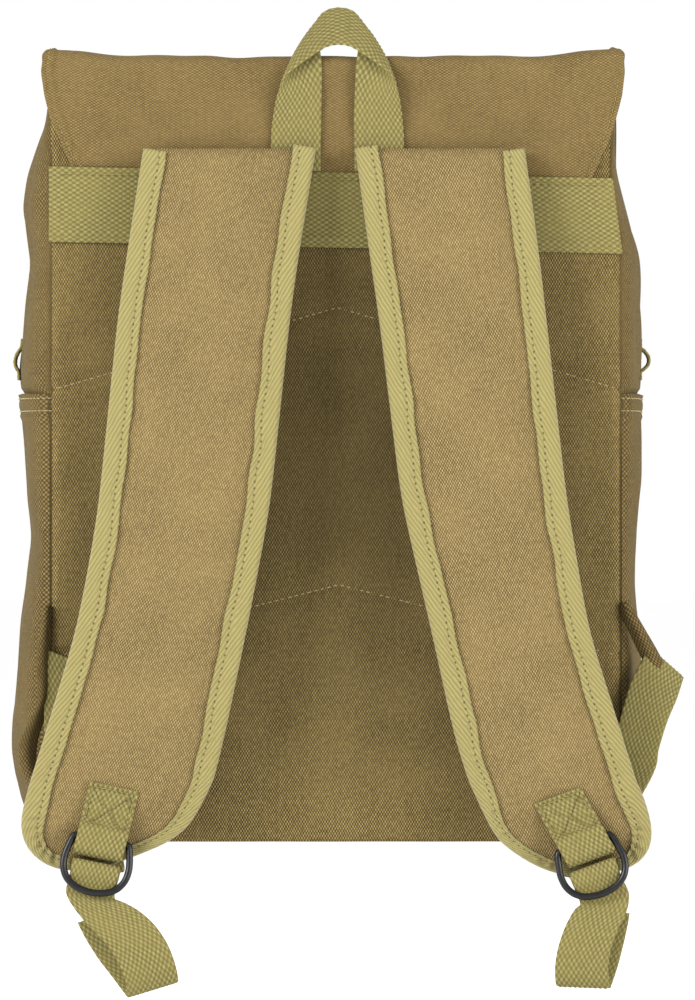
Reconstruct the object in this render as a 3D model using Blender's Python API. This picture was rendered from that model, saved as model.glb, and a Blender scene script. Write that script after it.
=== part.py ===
"""Canvas rucksack hanging by its grab handle, with the harness side facing -Y.

Metres, +Z up, +X to the right of someone who looks at the harness side.
The origin is the hang point, where a hook bears under the arch of the grab handle.
Each sewn piece is its own closed solid, and neighbours lie a small gap apart.
"""

import math
from collections import namedtuple

import bmesh
import bpy
from mathutils import Vector

# Body of the bag
BODY_WIDTH = 0.286
BODY_HEIGHT = 0.386
BODY_DEPTH = 0.127
TOP_BELOW_HANG = 0.014
CANVAS_WALL = 0.002
GAP = 0.0003
BACK_BOW = 0.004
FRONT_BOW = 0.016
SIDE_SWELL = 0.019

# Flap
FLAP_WALL = 0.0025
FLAP_EASE = 0.001
FLAP_OVERHANG = 0.0015
FLAP_TAPER = 0.024
FLAP_TURN = 0.006
FLAP_CROWN = 0.0015
FLAP_EAR = 0.003
FLAP_FRONT_DROP = 0.225
FLAP_CORNER = 0.045

# Stud that closes the flap
STUD_DIAMETER = 0.016
STUD_TOP_DIAMETER = 0.012
STUD_HEIGHT = 0.004
STUD_ABOVE_HEM = 0.024

# Webbing and tape
WEBBING = 0.025
WEBBING_WALL = 0.0016
BAND_HEIGHT = 0.038
BAND_BELOW_HANG = 0.0615
BAND_FALL = 0.006
BINDING_WIDTH = 0.0115
BINDING_WALL = 0.0012

# Grab handle
HANDLE_SPAN = 0.042
HANDLE_RISE = 0.0675
HANDLE_APEX = 0.0095
HANDLE_LEAN = 0.006
HANDLE_ARCH_TILT = 48
HANDLE_TURN_START = 0.73

# Shoulder straps
STRAP_WIDTH = 0.086
STRAP_LENGTH = 0.362
STRAP_TOP_BELOW_HANG = 0.053
STRAP_THICKNESS = 0.009
STRAP_EDGE = 0.005
STRAP_STANDOFF = 0.021
STRAP_TOP_ROUND = 0.005
PAD_SLOPE = 0.006
PAD_MARGIN = 0.0025

# Ring tabs and D-rings
RING_TAB_SEWN = 0.027
RING_TAB_TURNBACK = 0.015
RING_TAB_LOOP = 0.012
RING_WIRE = 0.003
RING_PLAY = 0.0005
RING_ARM = 0.0127
RING_CORNER = 0.003
RING_OPENING_ANGLE = 9

# Adjuster webbing, from the side seam through the rings to its loose tail
TAIL_DROP = 0.072
TAIL_LOOP = 0.010
ADJUSTER_BEND = 0.0034
ADJUSTER_PINCH = 0.88
ADJUSTER_REACH = 0.01635

# Ears in the side seams
EAR_LEFT_HEIGHT = 0.084
EAR_RIGHT_HEIGHT = 0.032
EAR_WALL = 0.004
EAR_HOLD = 0.4

# Side pockets and the loops above them
POCKET_HEIGHT = 0.222
POCKET_SLACK = 0.009
LOOP_TAPE = 0.012
LOOP_REACH = 0.0045
LOOP_HEIGHT = 0.011
LOOP_WALL = 0.0012
LOOP_BELOW_HANG = 0.1575
LOOP_CLEARANCE = 0.0006

# Places that follow from the sizes
HALF_WIDTH = BODY_WIDTH / 2
TOP = -TOP_BELOW_HANG
BOTTOM = TOP - BODY_HEIGHT
PANEL_FOOT = BOTTOM + CANVAS_WALL + GAP
FLAP_TOP_WIDTH = BODY_WIDTH + FLAP_OVERHANG
FLAP_SEAM_WIDTH = BODY_WIDTH - FLAP_TAPER
FLAP_TURN_LIFT = FLAP_TURN - math.sqrt(FLAP_TURN ** 2 - (FLAP_TURN - GAP) ** 2)
FLAP_LEVEL = TOP + FLAP_TURN_LIFT + GAP
STRAP_TOP = -STRAP_TOP_BELOW_HANG
RING_PITCH = RING_WIRE + GAP
RING_WIDTH = WEBBING + RING_WIRE + 2 * RING_PLAY
POCKET_TOP = PANEL_FOOT + POCKET_HEIGHT

# How far the filled sides swell beyond the seams, as shares of SIDE_SWELL
Swell = namedtuple("Swell", "down left right")
SIDE_FORM = [
    Swell(0.00, 0.00, 0.00),
    Swell(0.09, 0.35, 0.05),
    Swell(0.18, 0.66, 0.21),
    Swell(0.26, 0.42, 0.34),
    Swell(0.42, 0.70, 0.45),
    Swell(0.50, 0.70, 0.38),
    Swell(0.60, 0.63, 0.45),
    Swell(0.68, 0.48, 0.36),
    Swell(0.76, 0.68, 0.36),
    Swell(0.84, 0.92, 0.50),
    Swell(0.92, 0.96, 0.55),
    Swell(0.97, 0.75, 0.45),
    Swell(1.00, 0.20, 0.15),
]

# Plan of each strap: its centre as shares of HALF_WIDTH, its width as shares of STRAP_WIDTH,
# and how far it stands off the back as shares of STRAP_STANDOFF
Strap = namedtuple("Strap", "down left_centre left_width right_centre right_width stand")
STRAP_FORM = [
    Strap(0.000, 0.372, 1.000, 0.364, 0.990, 0.00),
    Strap(0.100, 0.410, 0.990, 0.395, 0.985, 0.30),
    Strap(0.236, 0.465, 1.010, 0.442, 0.970, 0.64),
    Strap(0.486, 0.526, 0.995, 0.516, 0.960, 1.00),
    Strap(0.666, 0.608, 0.990, 0.607, 0.940, 1.00),
    Strap(0.818, 0.706, 1.045, 0.710, 0.975, 0.90),
    Strap(0.873, 0.747, 1.060, 0.753, 0.975, 0.86),
    Strap(0.919, 0.792, 1.010, 0.800, 0.965, 0.85),
    Strap(0.942, 0.815, 0.940, 0.822, 0.930, 0.85),
    Strap(0.960, 0.839, 0.830, 0.840, 0.865, 0.85),
    Strap(0.976, 0.868, 0.670, 0.856, 0.750, 0.85),
    Strap(0.990, 0.897, 0.450, 0.870, 0.580, 0.85),
    Strap(1.000, 0.915, 0.200, 0.876, 0.350, 0.85),
]

# Half of the handle, foot to apex: height as shares of HANDLE_RISE, distance from the
# middle as shares of half HANDLE_SPAN, and the share of the twist that is done there
Handle = namedtuple("Handle", "up out twist")
HANDLE_FORM = [
    Handle(0.00, 1.00, 0.00),
    Handle(0.20, 1.00, 0.00),
    Handle(0.40, 1.00, 0.04),
    Handle(0.55, 0.95, 0.16),
    Handle(0.73, 0.80, 0.45),
    Handle(0.89, 0.52, 0.78),
    Handle(0.97, 0.28, 0.93),
    Handle(1.00, 0.00, 1.00),
]

# Run of each adjuster from the side seam to the rings: shares of the way, and how far
# it swings outwards as shares of that way
Run = namedtuple("Run", "along left_swing right_swing")
ADJUSTER_RUN = [
    Run(0.00, 0.00, 0.00),
    Run(0.12, 0.02, 0.05),
    Run(0.30, 0.04, 0.06),
    Run(0.55, 0.05, 0.05),
    Run(0.80, 0.03, 0.03),
]

# Where it comes up to the back ring: below the bend as shares of WEBBING, and behind the
# rings as shares of ADJUSTER_REACH
Approach = namedtuple("Approach", "below behind")
RING_APPROACH = [
    Approach(0.64, 1.00),
    Approach(0.52, 0.45),
    Approach(0.32, 0.21),
]

# Loose tails: shares of TAIL_DROP for the fall and the sideways drift, and of TAIL_LOOP
# for the distance from the back layer towards the wearer
Tail = namedtuple("Tail", "fall drift near")
LEFT_TAIL = [
    Tail(0.50, 0.02, 0.75),
    Tail(0.62, 0.18, 1.00),
    Tail(0.76, 0.29, 1.15),
    Tail(0.91, 0.34, 1.10),
    Tail(0.99, 0.33, 0.75),
    Tail(1.00, 0.30, 0.45),
    Tail(0.95, 0.26, 0.20),
    Tail(0.80, 0.17, 0.00),
    Tail(0.62, 0.06, 0.00),
]
RIGHT_TAIL = [
    Tail(0.50, 0.09, 0.75),
    Tail(0.62, 0.04, 1.00),
    Tail(0.76, 0.00, 1.15),
    Tail(0.91, -0.03, 1.10),
    Tail(0.99, -0.02, 0.75),
    Tail(1.00, 0.00, 0.45),
    Tail(0.95, 0.03, 0.20),
    Tail(0.80, 0.07, 0.00),
    Tail(0.62, 0.10, 0.00),
]

# Outlines of the seam ears: out from the seam and down, as shares of each ear's height
Ear = namedtuple("Ear", "out down")
LEFT_EAR = [Ear(-0.03, 0.00), Ear(0.00, 0.00), Ear(0.05, 0.27), Ear(0.16, 0.78), Ear(0.11, 1.00), Ear(-0.03, 0.62)]
RIGHT_EAR = [Ear(-0.10, 0.00), Ear(0.02, 0.00), Ear(0.42, 0.66), Ear(0.36, 0.78), Ear(-0.10, 1.00)]

# What differs from side to side: tilts in degrees, heights as shares of STRAP_LENGTH, and
# distances from the middle as shares of HALF_WIDTH
Side = namedtuple("Side", "name sign tilt bar_down bar_out ear_down hold_out tail_tilt")
SIDES = [
    Side("left", -1, 12, 0.953, 0.815, 0.642, 0.0, 20),
    Side("right", 1, 20, 0.958, 0.862, 0.638, 0.022, 0),
]


def smooth(share):
    """An ease from 0 to 1 for a share that may run past either end."""
    share = min(max(share, 0.0), 1.0)
    return share * share * (3 - 2 * share)


def follow(rows, column, at):
    """A column's value at a share of the table's first column, on a curve through its rows."""
    keys = [row[0] for row in rows]
    values = [getattr(row, column) for row in rows]
    at = min(max(at, keys[0]), keys[-1])
    index = max(i for i in range(len(keys) - 1) if keys[i] <= at)

    def slope(i):
        before = max(i - 1, 0)
        after = min(i + 1, len(keys) - 1)
        return (values[after] - values[before]) / (keys[after] - keys[before])

    span = keys[index + 1] - keys[index]
    t = (at - keys[index]) / span
    start = values[index] * (1 + 2 * t) * (1 - t) ** 2 + slope(index) * span * t * (1 - t) ** 2
    end = values[index + 1] * t * t * (3 - 2 * t) - slope(index + 1) * span * t * t * (1 - t)
    return start + end


def through(points, steps):
    """A smooth run of points through the given ones, steps of them to each stretch."""
    run = []
    for i in range(len(points) - 1):
        before = points[max(i - 1, 0)]
        start = points[i]
        end = points[i + 1]
        after = points[min(i + 2, len(points) - 1)]
        for k in range(steps):
            t = k / steps
            run.append(0.5 * (2 * start + (end - before) * t
                              + (2 * before - 5 * start + 4 * end - after) * t ** 2
                              + (3 * start - before - 3 * end + after) * t ** 3))
    run.append(points[-1].copy())
    return run


def finish_material(name, colour, roughness, metallic=0.0):
    material = bpy.data.materials.new(name)
    material.use_nodes = True
    shader = material.node_tree.nodes["Principled BSDF"]
    shader.inputs["Base Color"].default_value = (*colour, 1.0)
    shader.inputs["Roughness"].default_value = roughness
    shader.inputs["Metallic"].default_value = metallic
    return material


def add_piece(name, work, material):
    """Put a finished bmesh into the scene as a named piece."""
    mesh = bpy.data.meshes.new(name)
    work.to_mesh(mesh)
    work.free()
    piece = bpy.data.objects.new(name, mesh)
    bpy.context.scene.collection.objects.link(piece)
    mesh.materials.append(material)
    mesh.shade_smooth()
    mesh.set_sharp_from_angle(angle=math.radians(40))
    return piece


def cloth_sheet(name, place, across, along, wall, material, outwards=False):
    """A cloth wall: place(u, v) lays its face, and Solidify gives it thickness behind it."""
    work = bmesh.new()
    bmesh.ops.create_grid(work, x_segments=across, y_segments=along, size=0.5)
    for vertex in work.verts:
        vertex.co = place(vertex.co.x + 0.5, vertex.co.y + 0.5)
    piece = add_piece(name, work, material)
    solidify = piece.modifiers.new("wall", "SOLIDIFY")
    solidify.thickness = wall
    solidify.offset = 1 if outwards else -1
    return piece


def swept(name, loops, material, closed_ends=True):
    """A solid through a row of loops that have the same number of corners."""
    work = bmesh.new()
    rings = [[work.verts.new(corner) for corner in loop] for loop in loops]
    sides = len(rings[0])
    for first, second in zip(rings, rings[1:]):
        for k in range(sides):
            work.faces.new((first[k], first[(k + 1) % sides], second[(k + 1) % sides], second[k]))
    if closed_ends:
        work.faces.new(rings[0][::-1])
        work.faces.new(rings[-1])
    bmesh.ops.recalc_face_normals(work, faces=work.faces)
    return add_piece(name, work, material)


def ribbon_loops(stations, wall):
    """Flat webbing as four-cornered loops, from (centre, across) pairs; across is half its width."""
    loops = []
    for i, (centre, across) in enumerate(stations):
        before = stations[max(i - 1, 0)][0]
        after = stations[min(i + 1, len(stations) - 1)][0]
        along = (after - before).normalized()
        lift = along.cross(across).normalized() * wall / 2
        loops.append([centre - across - lift, centre + across - lift,
                      centre + across + lift, centre - across + lift])
    return loops


def back_y(x, z):
    """Outer face of the back panel, which bows towards the wearer."""
    across = max(1 - (x / HALF_WIDTH) ** 2, 0.0)
    down = min(max((TOP - z) / BODY_HEIGHT, 0.0), 1.0)
    return -BACK_BOW * across * math.sin(math.pi * down)


def front_y(x, z):
    """Outer face of the front panel, which bows out over the load."""
    across = max(1 - (x / HALF_WIDTH) ** 2, 0.0)
    down = min(max((TOP - z) / BODY_HEIGHT, 0.0), 1.0)
    return BODY_DEPTH + FRONT_BOW * across * math.sin(math.pi * down ** 0.8)


def side_swell(side, y, z):
    """How far a filled side stands out beyond its seams."""
    seam = CANVAS_WALL + GAP
    share = (y - seam) / (BODY_DEPTH - 2 * seam)
    fullness = max(math.sin(math.pi * min(max(share, 0.0), 1.0)), 0.0) ** 0.7
    down = (TOP - z) / BODY_HEIGHT
    return SIDE_SWELL * follow(SIDE_FORM, side.name, down) * fullness


def pocket_space(y, z):
    """How far the side lies back behind its pocket."""
    seam = CANVAS_WALL + GAP
    share = (y - seam) / (BODY_DEPTH - 2 * seam)
    fullness = max(math.sin(math.pi * min(max(share, 0.0), 1.0)), 0.0) ** 0.5
    mouth = smooth((POCKET_TOP + 2 * POCKET_SLACK - z) / (2 * POCKET_SLACK))
    floor = smooth((z - PANEL_FOOT) / (4 * POCKET_SLACK))
    return POCKET_SLACK * fullness * mouth * floor


def band_top(x):
    """Top edge of the cross band, which falls a little to the right."""
    return -BAND_BELOW_HANG - BAND_FALL * (x / BODY_WIDTH + 0.5)


def make_panels(canvas, dark_canvas):
    seam = CANVAS_WALL + GAP

    def back(u, v):
        x = (u - 0.5) * BODY_WIDTH
        z = PANEL_FOOT + v * (TOP - PANEL_FOOT)
        return Vector((x, back_y(x, z), z))

    def front(u, v):
        x = (0.5 - u) * BODY_WIDTH
        z = PANEL_FOOT + v * (TOP - PANEL_FOOT)
        return Vector((x, front_y(x, z), z))

    def base(u, v):
        return Vector(((u - 0.5) * BODY_WIDTH, (1 - v) * BODY_DEPTH, BOTTOM))

    cloth_sheet("back_panel", back, 8, 10, CANVAS_WALL, dark_canvas)
    cloth_sheet("front_panel", front, 8, 10, CANVAS_WALL, canvas)
    cloth_sheet("base_panel", base, 4, 2, CANVAS_WALL, canvas)
    for side in SIDES:

        def gusset(u, v):
            y = seam + (u if side.sign > 0 else 1 - u) * (BODY_DEPTH - 2 * seam)
            z = PANEL_FOOT + v * (TOP - PANEL_FOOT)
            return Vector((side.sign * (HALF_WIDTH + side_swell(side, y, z) - pocket_space(y, z)), y, z))

        cloth_sheet("side_panel_" + side.name, gusset, 8, 24, CANVAS_WALL, canvas)


def make_side_pockets(canvas):
    seam = CANVAS_WALL + GAP
    for side in SIDES:

        def pocket(u, v):
            y = seam + (u if side.sign > 0 else 1 - u) * (BODY_DEPTH - 2 * seam)
            z = PANEL_FOOT + v * POCKET_HEIGHT
            return Vector((side.sign * (HALF_WIDTH + GAP + side_swell(side, y, z)), y, z))

        cloth_sheet("side_pocket_" + side.name, pocket, 8, 14, CANVAS_WALL, canvas, outwards=True)


def make_pocket_loops(webbing):
    """A drop of tape on each side, sewn down by its two ends."""
    for side in SIDES:
        middle = BODY_DEPTH / 2
        lift = HALF_WIDTH + LOOP_CLEARANCE + LOOP_WALL / 2
        turns = [(0.0, 0.95), (0.0, 0.55), (0.5, 0.38), (1.0, 0.12), (1.0, -0.12), (0.5, -0.38), (0.0, -0.55),
                 (0.0, -0.95)]
        points = []
        for out, up in turns:
            z = up * LOOP_HEIGHT - LOOP_BELOW_HANG
            x = lift + side_swell(side, middle, z) - pocket_space(middle, z) + out * LOOP_REACH
            points.append(Vector((side.sign * x, middle, z)))
        across = Vector((0, LOOP_TAPE / 2, 0))
        stations = [(point, across) for point in through(points, 3)]
        swept("pocket_loop_" + side.name, ribbon_loops(stations, LOOP_WALL), webbing)


def make_flap(canvas):
    """The flap rises from the band, turns over the top and falls down the front."""
    turn_steps = 4
    rows = [("back", k / 4) for k in range(5)]
    rows += [("rear_turn", k / turn_steps) for k in range(1, turn_steps + 1)]
    rows += [("top", k / 4) for k in range(1, 5)]
    rows += [("front_turn", k / turn_steps) for k in range(1, turn_steps + 1)]
    rows += [("front", k / 8) for k in range(1, 7)]
    rows += [("front", 0.75 + k / 20) for k in (1, 2, 3, 4, 4.6, 5)]
    shoulder = FLAP_LEVEL - FLAP_TURN
    foot = -FLAP_FRONT_DROP

    def half_width(stretch, t):
        if stretch == "back":
            return (FLAP_SEAM_WIDTH + (FLAP_TOP_WIDTH - FLAP_SEAM_WIDTH) * math.sin(t * math.pi / 2)) / 2
        if stretch == "front":
            above_foot = (1 - t) * (shoulder - foot)
            into_corner = max(1 - above_foot / FLAP_CORNER, 0.0)
            return FLAP_TOP_WIDTH / 2 - FLAP_CORNER * (1 - math.sqrt(1 - into_corner ** 2))
        return FLAP_TOP_WIDTH / 2

    def place(u, v):
        stretch, t = rows[round(v * (len(rows) - 1))]
        x = (2 * u - 1) * half_width(stretch, t)
        ear = FLAP_EAR * (2 * u - 1) ** 4
        if stretch == "back":
            start = band_top(x) + GAP
            z = start + t * (shoulder - start)
            return Vector((x, back_y(x, z) - GAP, z + ear * t))
        if stretch == "rear_turn":
            angle = t * math.pi / 2
            y = FLAP_TURN * (1 - math.cos(angle)) - GAP
            return Vector((x, y, shoulder + FLAP_TURN * math.sin(angle) + ear))
        if stretch == "top":
            y = FLAP_TURN - GAP + t * (BODY_DEPTH + 2 * GAP + FLAP_EASE - 2 * FLAP_TURN)
            return Vector((x, y, FLAP_LEVEL + FLAP_CROWN * math.sin(t * math.pi) + ear * (1 - t)))
        if stretch == "front_turn":
            angle = t * math.pi / 2
            y = BODY_DEPTH + GAP + FLAP_EASE - FLAP_TURN * (1 - math.sin(angle))
            return Vector((x, y, shoulder + FLAP_TURN * math.cos(angle)))
        z = shoulder - t * (shoulder - foot)
        return Vector((x, front_y(x, z) + GAP + FLAP_EASE, z))

    cloth_sheet("flap", place, 10, len(rows) - 1, FLAP_WALL, canvas, outwards=True)


def make_stud(metal):
    """One plain stud on the front of the flap."""
    z = STUD_ABOVE_HEM - FLAP_FRONT_DROP
    seat = front_y(0, z) + FLAP_EASE + FLAP_WALL + 2 * GAP
    work = bmesh.new()
    bmesh.ops.create_cone(work, cap_ends=True, segments=20, radius1=STUD_DIAMETER / 2,
                          radius2=STUD_TOP_DIAMETER / 2, depth=STUD_HEIGHT)
    for vertex in work.verts:
        x, y, height = vertex.co
        vertex.co = Vector((x, seat + STUD_HEIGHT / 2 + height, z - y))
    bmesh.ops.recalc_face_normals(work, faces=work.faces)
    add_piece("flap_stud", work, metal)


def make_band(webbing):
    """Cross band of wide webbing, sewn flat on the back panel below the flap."""

    def place(u, v):
        x = (u - 0.5) * BODY_WIDTH
        z = band_top(x) - (1 - v) * BAND_HEIGHT
        return Vector((x, back_y(x, z) - GAP, z))

    cloth_sheet("yoke_band", place, 10, 2, WEBBING_WALL, webbing, outwards=True)


def make_handle(webbing):
    """Webbing loop whose two flat feet twist a quarter turn up into the arch."""
    seat = -(2 * GAP + FLAP_WALL + WEBBING_WALL / 2)
    tilt = math.radians(HANDLE_ARCH_TILT)
    stations = []
    steps = 14
    for k in range(-steps, steps + 1):
        share = 1 - abs(k / steps) ** 1.6
        hand = 1 if k > 0 else -1
        out = follow(HANDLE_FORM, "out", share) * HANDLE_SPAN / 2
        twist = follow(HANDLE_FORM, "twist", share) * math.pi / 2
        z = HANDLE_APEX - HANDLE_RISE * (1 - share)
        clear = seat + back_y(hand * out, z) - math.sin(twist) * math.cos(tilt) * WEBBING / 2
        turned = smooth((share - HANDLE_TURN_START) / (1 - HANDLE_TURN_START))
        y = clear + (HANDLE_LEAN - clear) * turned
        outer = Vector((hand * math.cos(twist), -math.sin(twist) * math.cos(tilt),
                        -math.sin(twist) * math.sin(tilt)))
        stations.append((Vector((hand * out, y, z)), outer * hand * WEBBING / 2))
    swept("grab_handle", handle_loops(stations), webbing)


def handle_loops(stations):
    """The far half of the handle is a mirror image, so its across vector is turned round."""
    turned = []
    for centre, across in stations:
        across = across if centre.x <= 0 else -across
        turned.append((centre, across))
    return ribbon_loops(turned, WEBBING_WALL)


def strap_middle_y(down):
    """Middle of the strap's thickness: on the handle's feet at the top, and further off as it falls."""
    foot = HANDLE_APEX - HANDLE_RISE
    seat = back_y(0, foot) - FLAP_WALL - WEBBING_WALL - 3 * GAP
    return seat - STRAP_THICKNESS / 2 - STRAP_STANDOFF * follow(STRAP_FORM, "stand", down)


def strap_rows():
    body = [k / 16 * STRAP_FORM[7].down for k in range(17)]
    return body + [row.down for row in STRAP_FORM[8:]]


def strap_edges(side):
    """The pad's outer and inner edges from top to bottom, as (x, z) pairs."""
    cover = BINDING_WALL + GAP
    outer = []
    inner = []
    for down in strap_rows():
        centre = HALF_WIDTH * follow(STRAP_FORM, side.name + "_centre", down)
        half = STRAP_WIDTH * follow(STRAP_FORM, side.name + "_width", down) / 2 - cover
        z = STRAP_TOP - down * (STRAP_LENGTH - cover)
        outer.append(Vector((side.sign * (centre + half), z)))
        inner.append(Vector((side.sign * (centre - half), z)))
    return outer, inner


def distance_to(outline, point):
    """Shortest way from a point to a run of straight stretches."""
    best = math.inf
    for start, end in zip(outline, outline[1:]):
        way = end - start
        share = (point - start).dot(way) / way.length_squared
        share = min(max(share, 0.0), 1.0)
        best = min(best, (point - start - way * share).length)
    return best


def make_strap(side, canvas):
    """Padded strap: full in the middle, pressed flat under the binding along its edge."""
    outer, inner = strap_edges(side)
    outline = outer + inner[::-1]
    shares = [0.0, 0.13, 0.2, 0.35, 0.5, 0.65, 0.8, 0.87, 1.0]
    loops = []
    for i, (first, second) in enumerate(zip(outer, inner)):
        down = strap_rows()[i]
        middle = strap_middle_y(down)
        front = []
        back = []
        for share in shares:
            point = first.lerp(second, share)
            depth = distance_to(outline, point) - BINDING_WIDTH - PAD_MARGIN
            swell = (STRAP_THICKNESS - STRAP_EDGE) / 2 * smooth(depth / PAD_SLOPE)
            rounding = smooth((STRAP_TOP - point.y) / STRAP_TOP_ROUND)
            front.append(Vector((point.x, middle - STRAP_EDGE / 2 - swell * rounding, point.y)))
            back.append(Vector((point.x, middle + STRAP_EDGE / 2 + swell, point.y)))
        loops.append(front + back[::-1])
    swept("shoulder_strap_" + side.name, loops, canvas)


def make_binding(side, webbing):
    """Herringbone tape folded round the strap's edge, down one side and up the other."""
    outer, inner = strap_edges(side)
    rows = strap_rows()
    outline = outer + inner[::-1]
    downs = rows + rows[::-1]
    cover = BINDING_WALL + GAP
    leg = BINDING_WIDTH - cover
    low = STRAP_EDGE / 2 + GAP
    high = low + BINDING_WALL
    section = [(leg, -high), (-cover, -high), (-cover, high), (leg, high),
               (leg, low), (-GAP, low), (-GAP, -low), (leg, -low)]
    loops = []
    for i, point in enumerate(outline):
        before = outline[max(i - 1, 0)]
        after = outline[min(i + 1, len(outline) - 1)]
        way = (after - before).normalized()
        inwards = Vector((-way.y, way.x)) * -side.sign
        loop = []
        for depth, lift in section:
            spot = point + inwards * depth
            down = (STRAP_TOP - spot.y) / (STRAP_LENGTH - cover)
            loop.append(Vector((spot.x, strap_middle_y(down) + lift, spot.y)))
        loops.append(loop)
    swept("strap_binding_" + side.name, loops, webbing)


class RingPlace:
    """Local axes at the ring bars: down the tab, across it, and out from the strap's face."""

    def __init__(self, side):
        angle = math.radians(side.tilt) * side.sign
        self.down = Vector((math.sin(angle), 0, -math.cos(angle)))
        self.across = Vector((math.cos(angle), 0, math.sin(angle)))
        self.out = Vector((0, -1, 0))
        upper = side.bar_down - RING_TAB_SEWN / STRAP_LENGTH
        proudest = min(strap_middle_y(side.bar_down), strap_middle_y(upper))
        seat = proudest - STRAP_THICKNESS / 2 - GAP
        self.origin = Vector((side.sign * side.bar_out * HALF_WIDTH, seat, STRAP_TOP - side.bar_down * STRAP_LENGTH))

    def at(self, down, across, out):
        return self.origin + self.down * down + self.across * across + self.out * out


def bar_level(index):
    """Height of a ring bar above the strap's face: 0 for the back ring, 1 for the front one."""
    return WEBBING_WALL + GAP + RING_WIRE / 2 + index * RING_PITCH


def make_ring_tab(side, webbing):
    """Webbing sewn on the strap, turned round both ring bars and back under itself."""
    place = RingPlace(side)
    lying = WEBBING_WALL / 2
    raised = bar_level(1) + RING_WIRE / 2 + GAP + WEBBING_WALL / 2
    bend = (raised - lying) / 2
    doubled = lying + WEBBING_WALL + GAP
    path = [(-RING_TAB_SEWN, lying), (-RING_TAB_SEWN * 0.75, lying), (-RING_TAB_TURNBACK - RING_WIRE, lying + GAP),
            (-RING_TAB_TURNBACK, doubled), (-RING_WIRE * 3.2, doubled + GAP), (-RING_WIRE * 1.6, raised - GAP),
            (0.0, raised)]
    path += [(RING_TAB_LOOP - bend + bend * math.sin(k * math.pi / 6), lying + bend + bend * math.cos(k * math.pi / 6))
             for k in range(7)]
    path += [(RING_WIRE, lying), (WEBBING_WALL - RING_TAB_TURNBACK, lying)]
    stations = [(place.at(down, 0, out), place.across * WEBBING / 2) for down, out in path]
    swept("ring_tab_" + side.name, ribbon_loops(stations, WEBBING_WALL), webbing)


def make_d_ring(side, index, metal):
    """D-ring of round wire: a straight bar, two arms and a half-round end."""
    place = RingPlace(side)
    lean = math.radians(RING_OPENING_ANGLE) * index
    half = RING_WIDTH / 2
    outline = []
    for hand in (-1, 1):
        corner = [(hand * (half - RING_CORNER + RING_CORNER * math.sin(a)), RING_CORNER * (1 - math.cos(a)))
                  for a in (0, math.pi / 6, math.pi / 3, math.pi / 2)]
        outline += corner[::-1] if hand < 0 else corner
    bend = [(half * math.cos(k * math.pi / 12), RING_ARM + half * math.sin(k * math.pi / 12)) for k in range(13)]
    outline += bend
    curve = bpy.data.curves.new("ring_wire", "CURVE")
    curve.dimensions = "3D"
    curve.bevel_depth = RING_WIRE / 2
    curve.bevel_resolution = 2
    spline = curve.splines.new("POLY")
    spline.points.add(len(outline) - 1)
    spline.use_cyclic_u = True
    for knot, (across, down) in zip(spline.points, outline):
        spot = place.at(down * math.cos(lean), across, bar_level(index) + down * math.sin(lean))
        knot.co = (*spot, 1.0)
    name = "d_ring_" + side.name + ("_front" if index else "_back")
    piece = bpy.data.objects.new(name, curve)
    curve.materials.append(metal)
    bpy.context.scene.collection.objects.link(piece)


def ear_corner(side):
    """Upper corner of the ear, where the side seam takes it in."""
    return Vector((side.sign * HALF_WIDTH, -GAP, STRAP_TOP - side.ear_down * STRAP_LENGTH))


def ear_height(side):
    return EAR_LEFT_HEIGHT if side.sign < 0 else EAR_RIGHT_HEIGHT


def ear_seat(side):
    """Where the back of the ear lies, just off the back panel."""
    corner = ear_corner(side)
    inner = corner.x - side.sign * 0.1 * ear_height(side)
    return min(back_y(inner, corner.z - ear_height(side) * share) for share in (0, 0.5, 1)) - GAP


def make_ear(side, canvas):
    """Folded canvas ear that takes the adjuster's end into the side seam."""
    rows = LEFT_EAR if side.sign < 0 else RIGHT_EAR
    height = ear_height(side)
    corner = ear_corner(side)
    seat = ear_seat(side)
    loops = []
    for level in (seat, seat - EAR_WALL):
        loops.append([Vector((corner.x + side.sign * row.out * height, level, corner.z - row.down * height))
                      for row in rows])
    swept("anchor_tab_" + side.name, loops, canvas)


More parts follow.
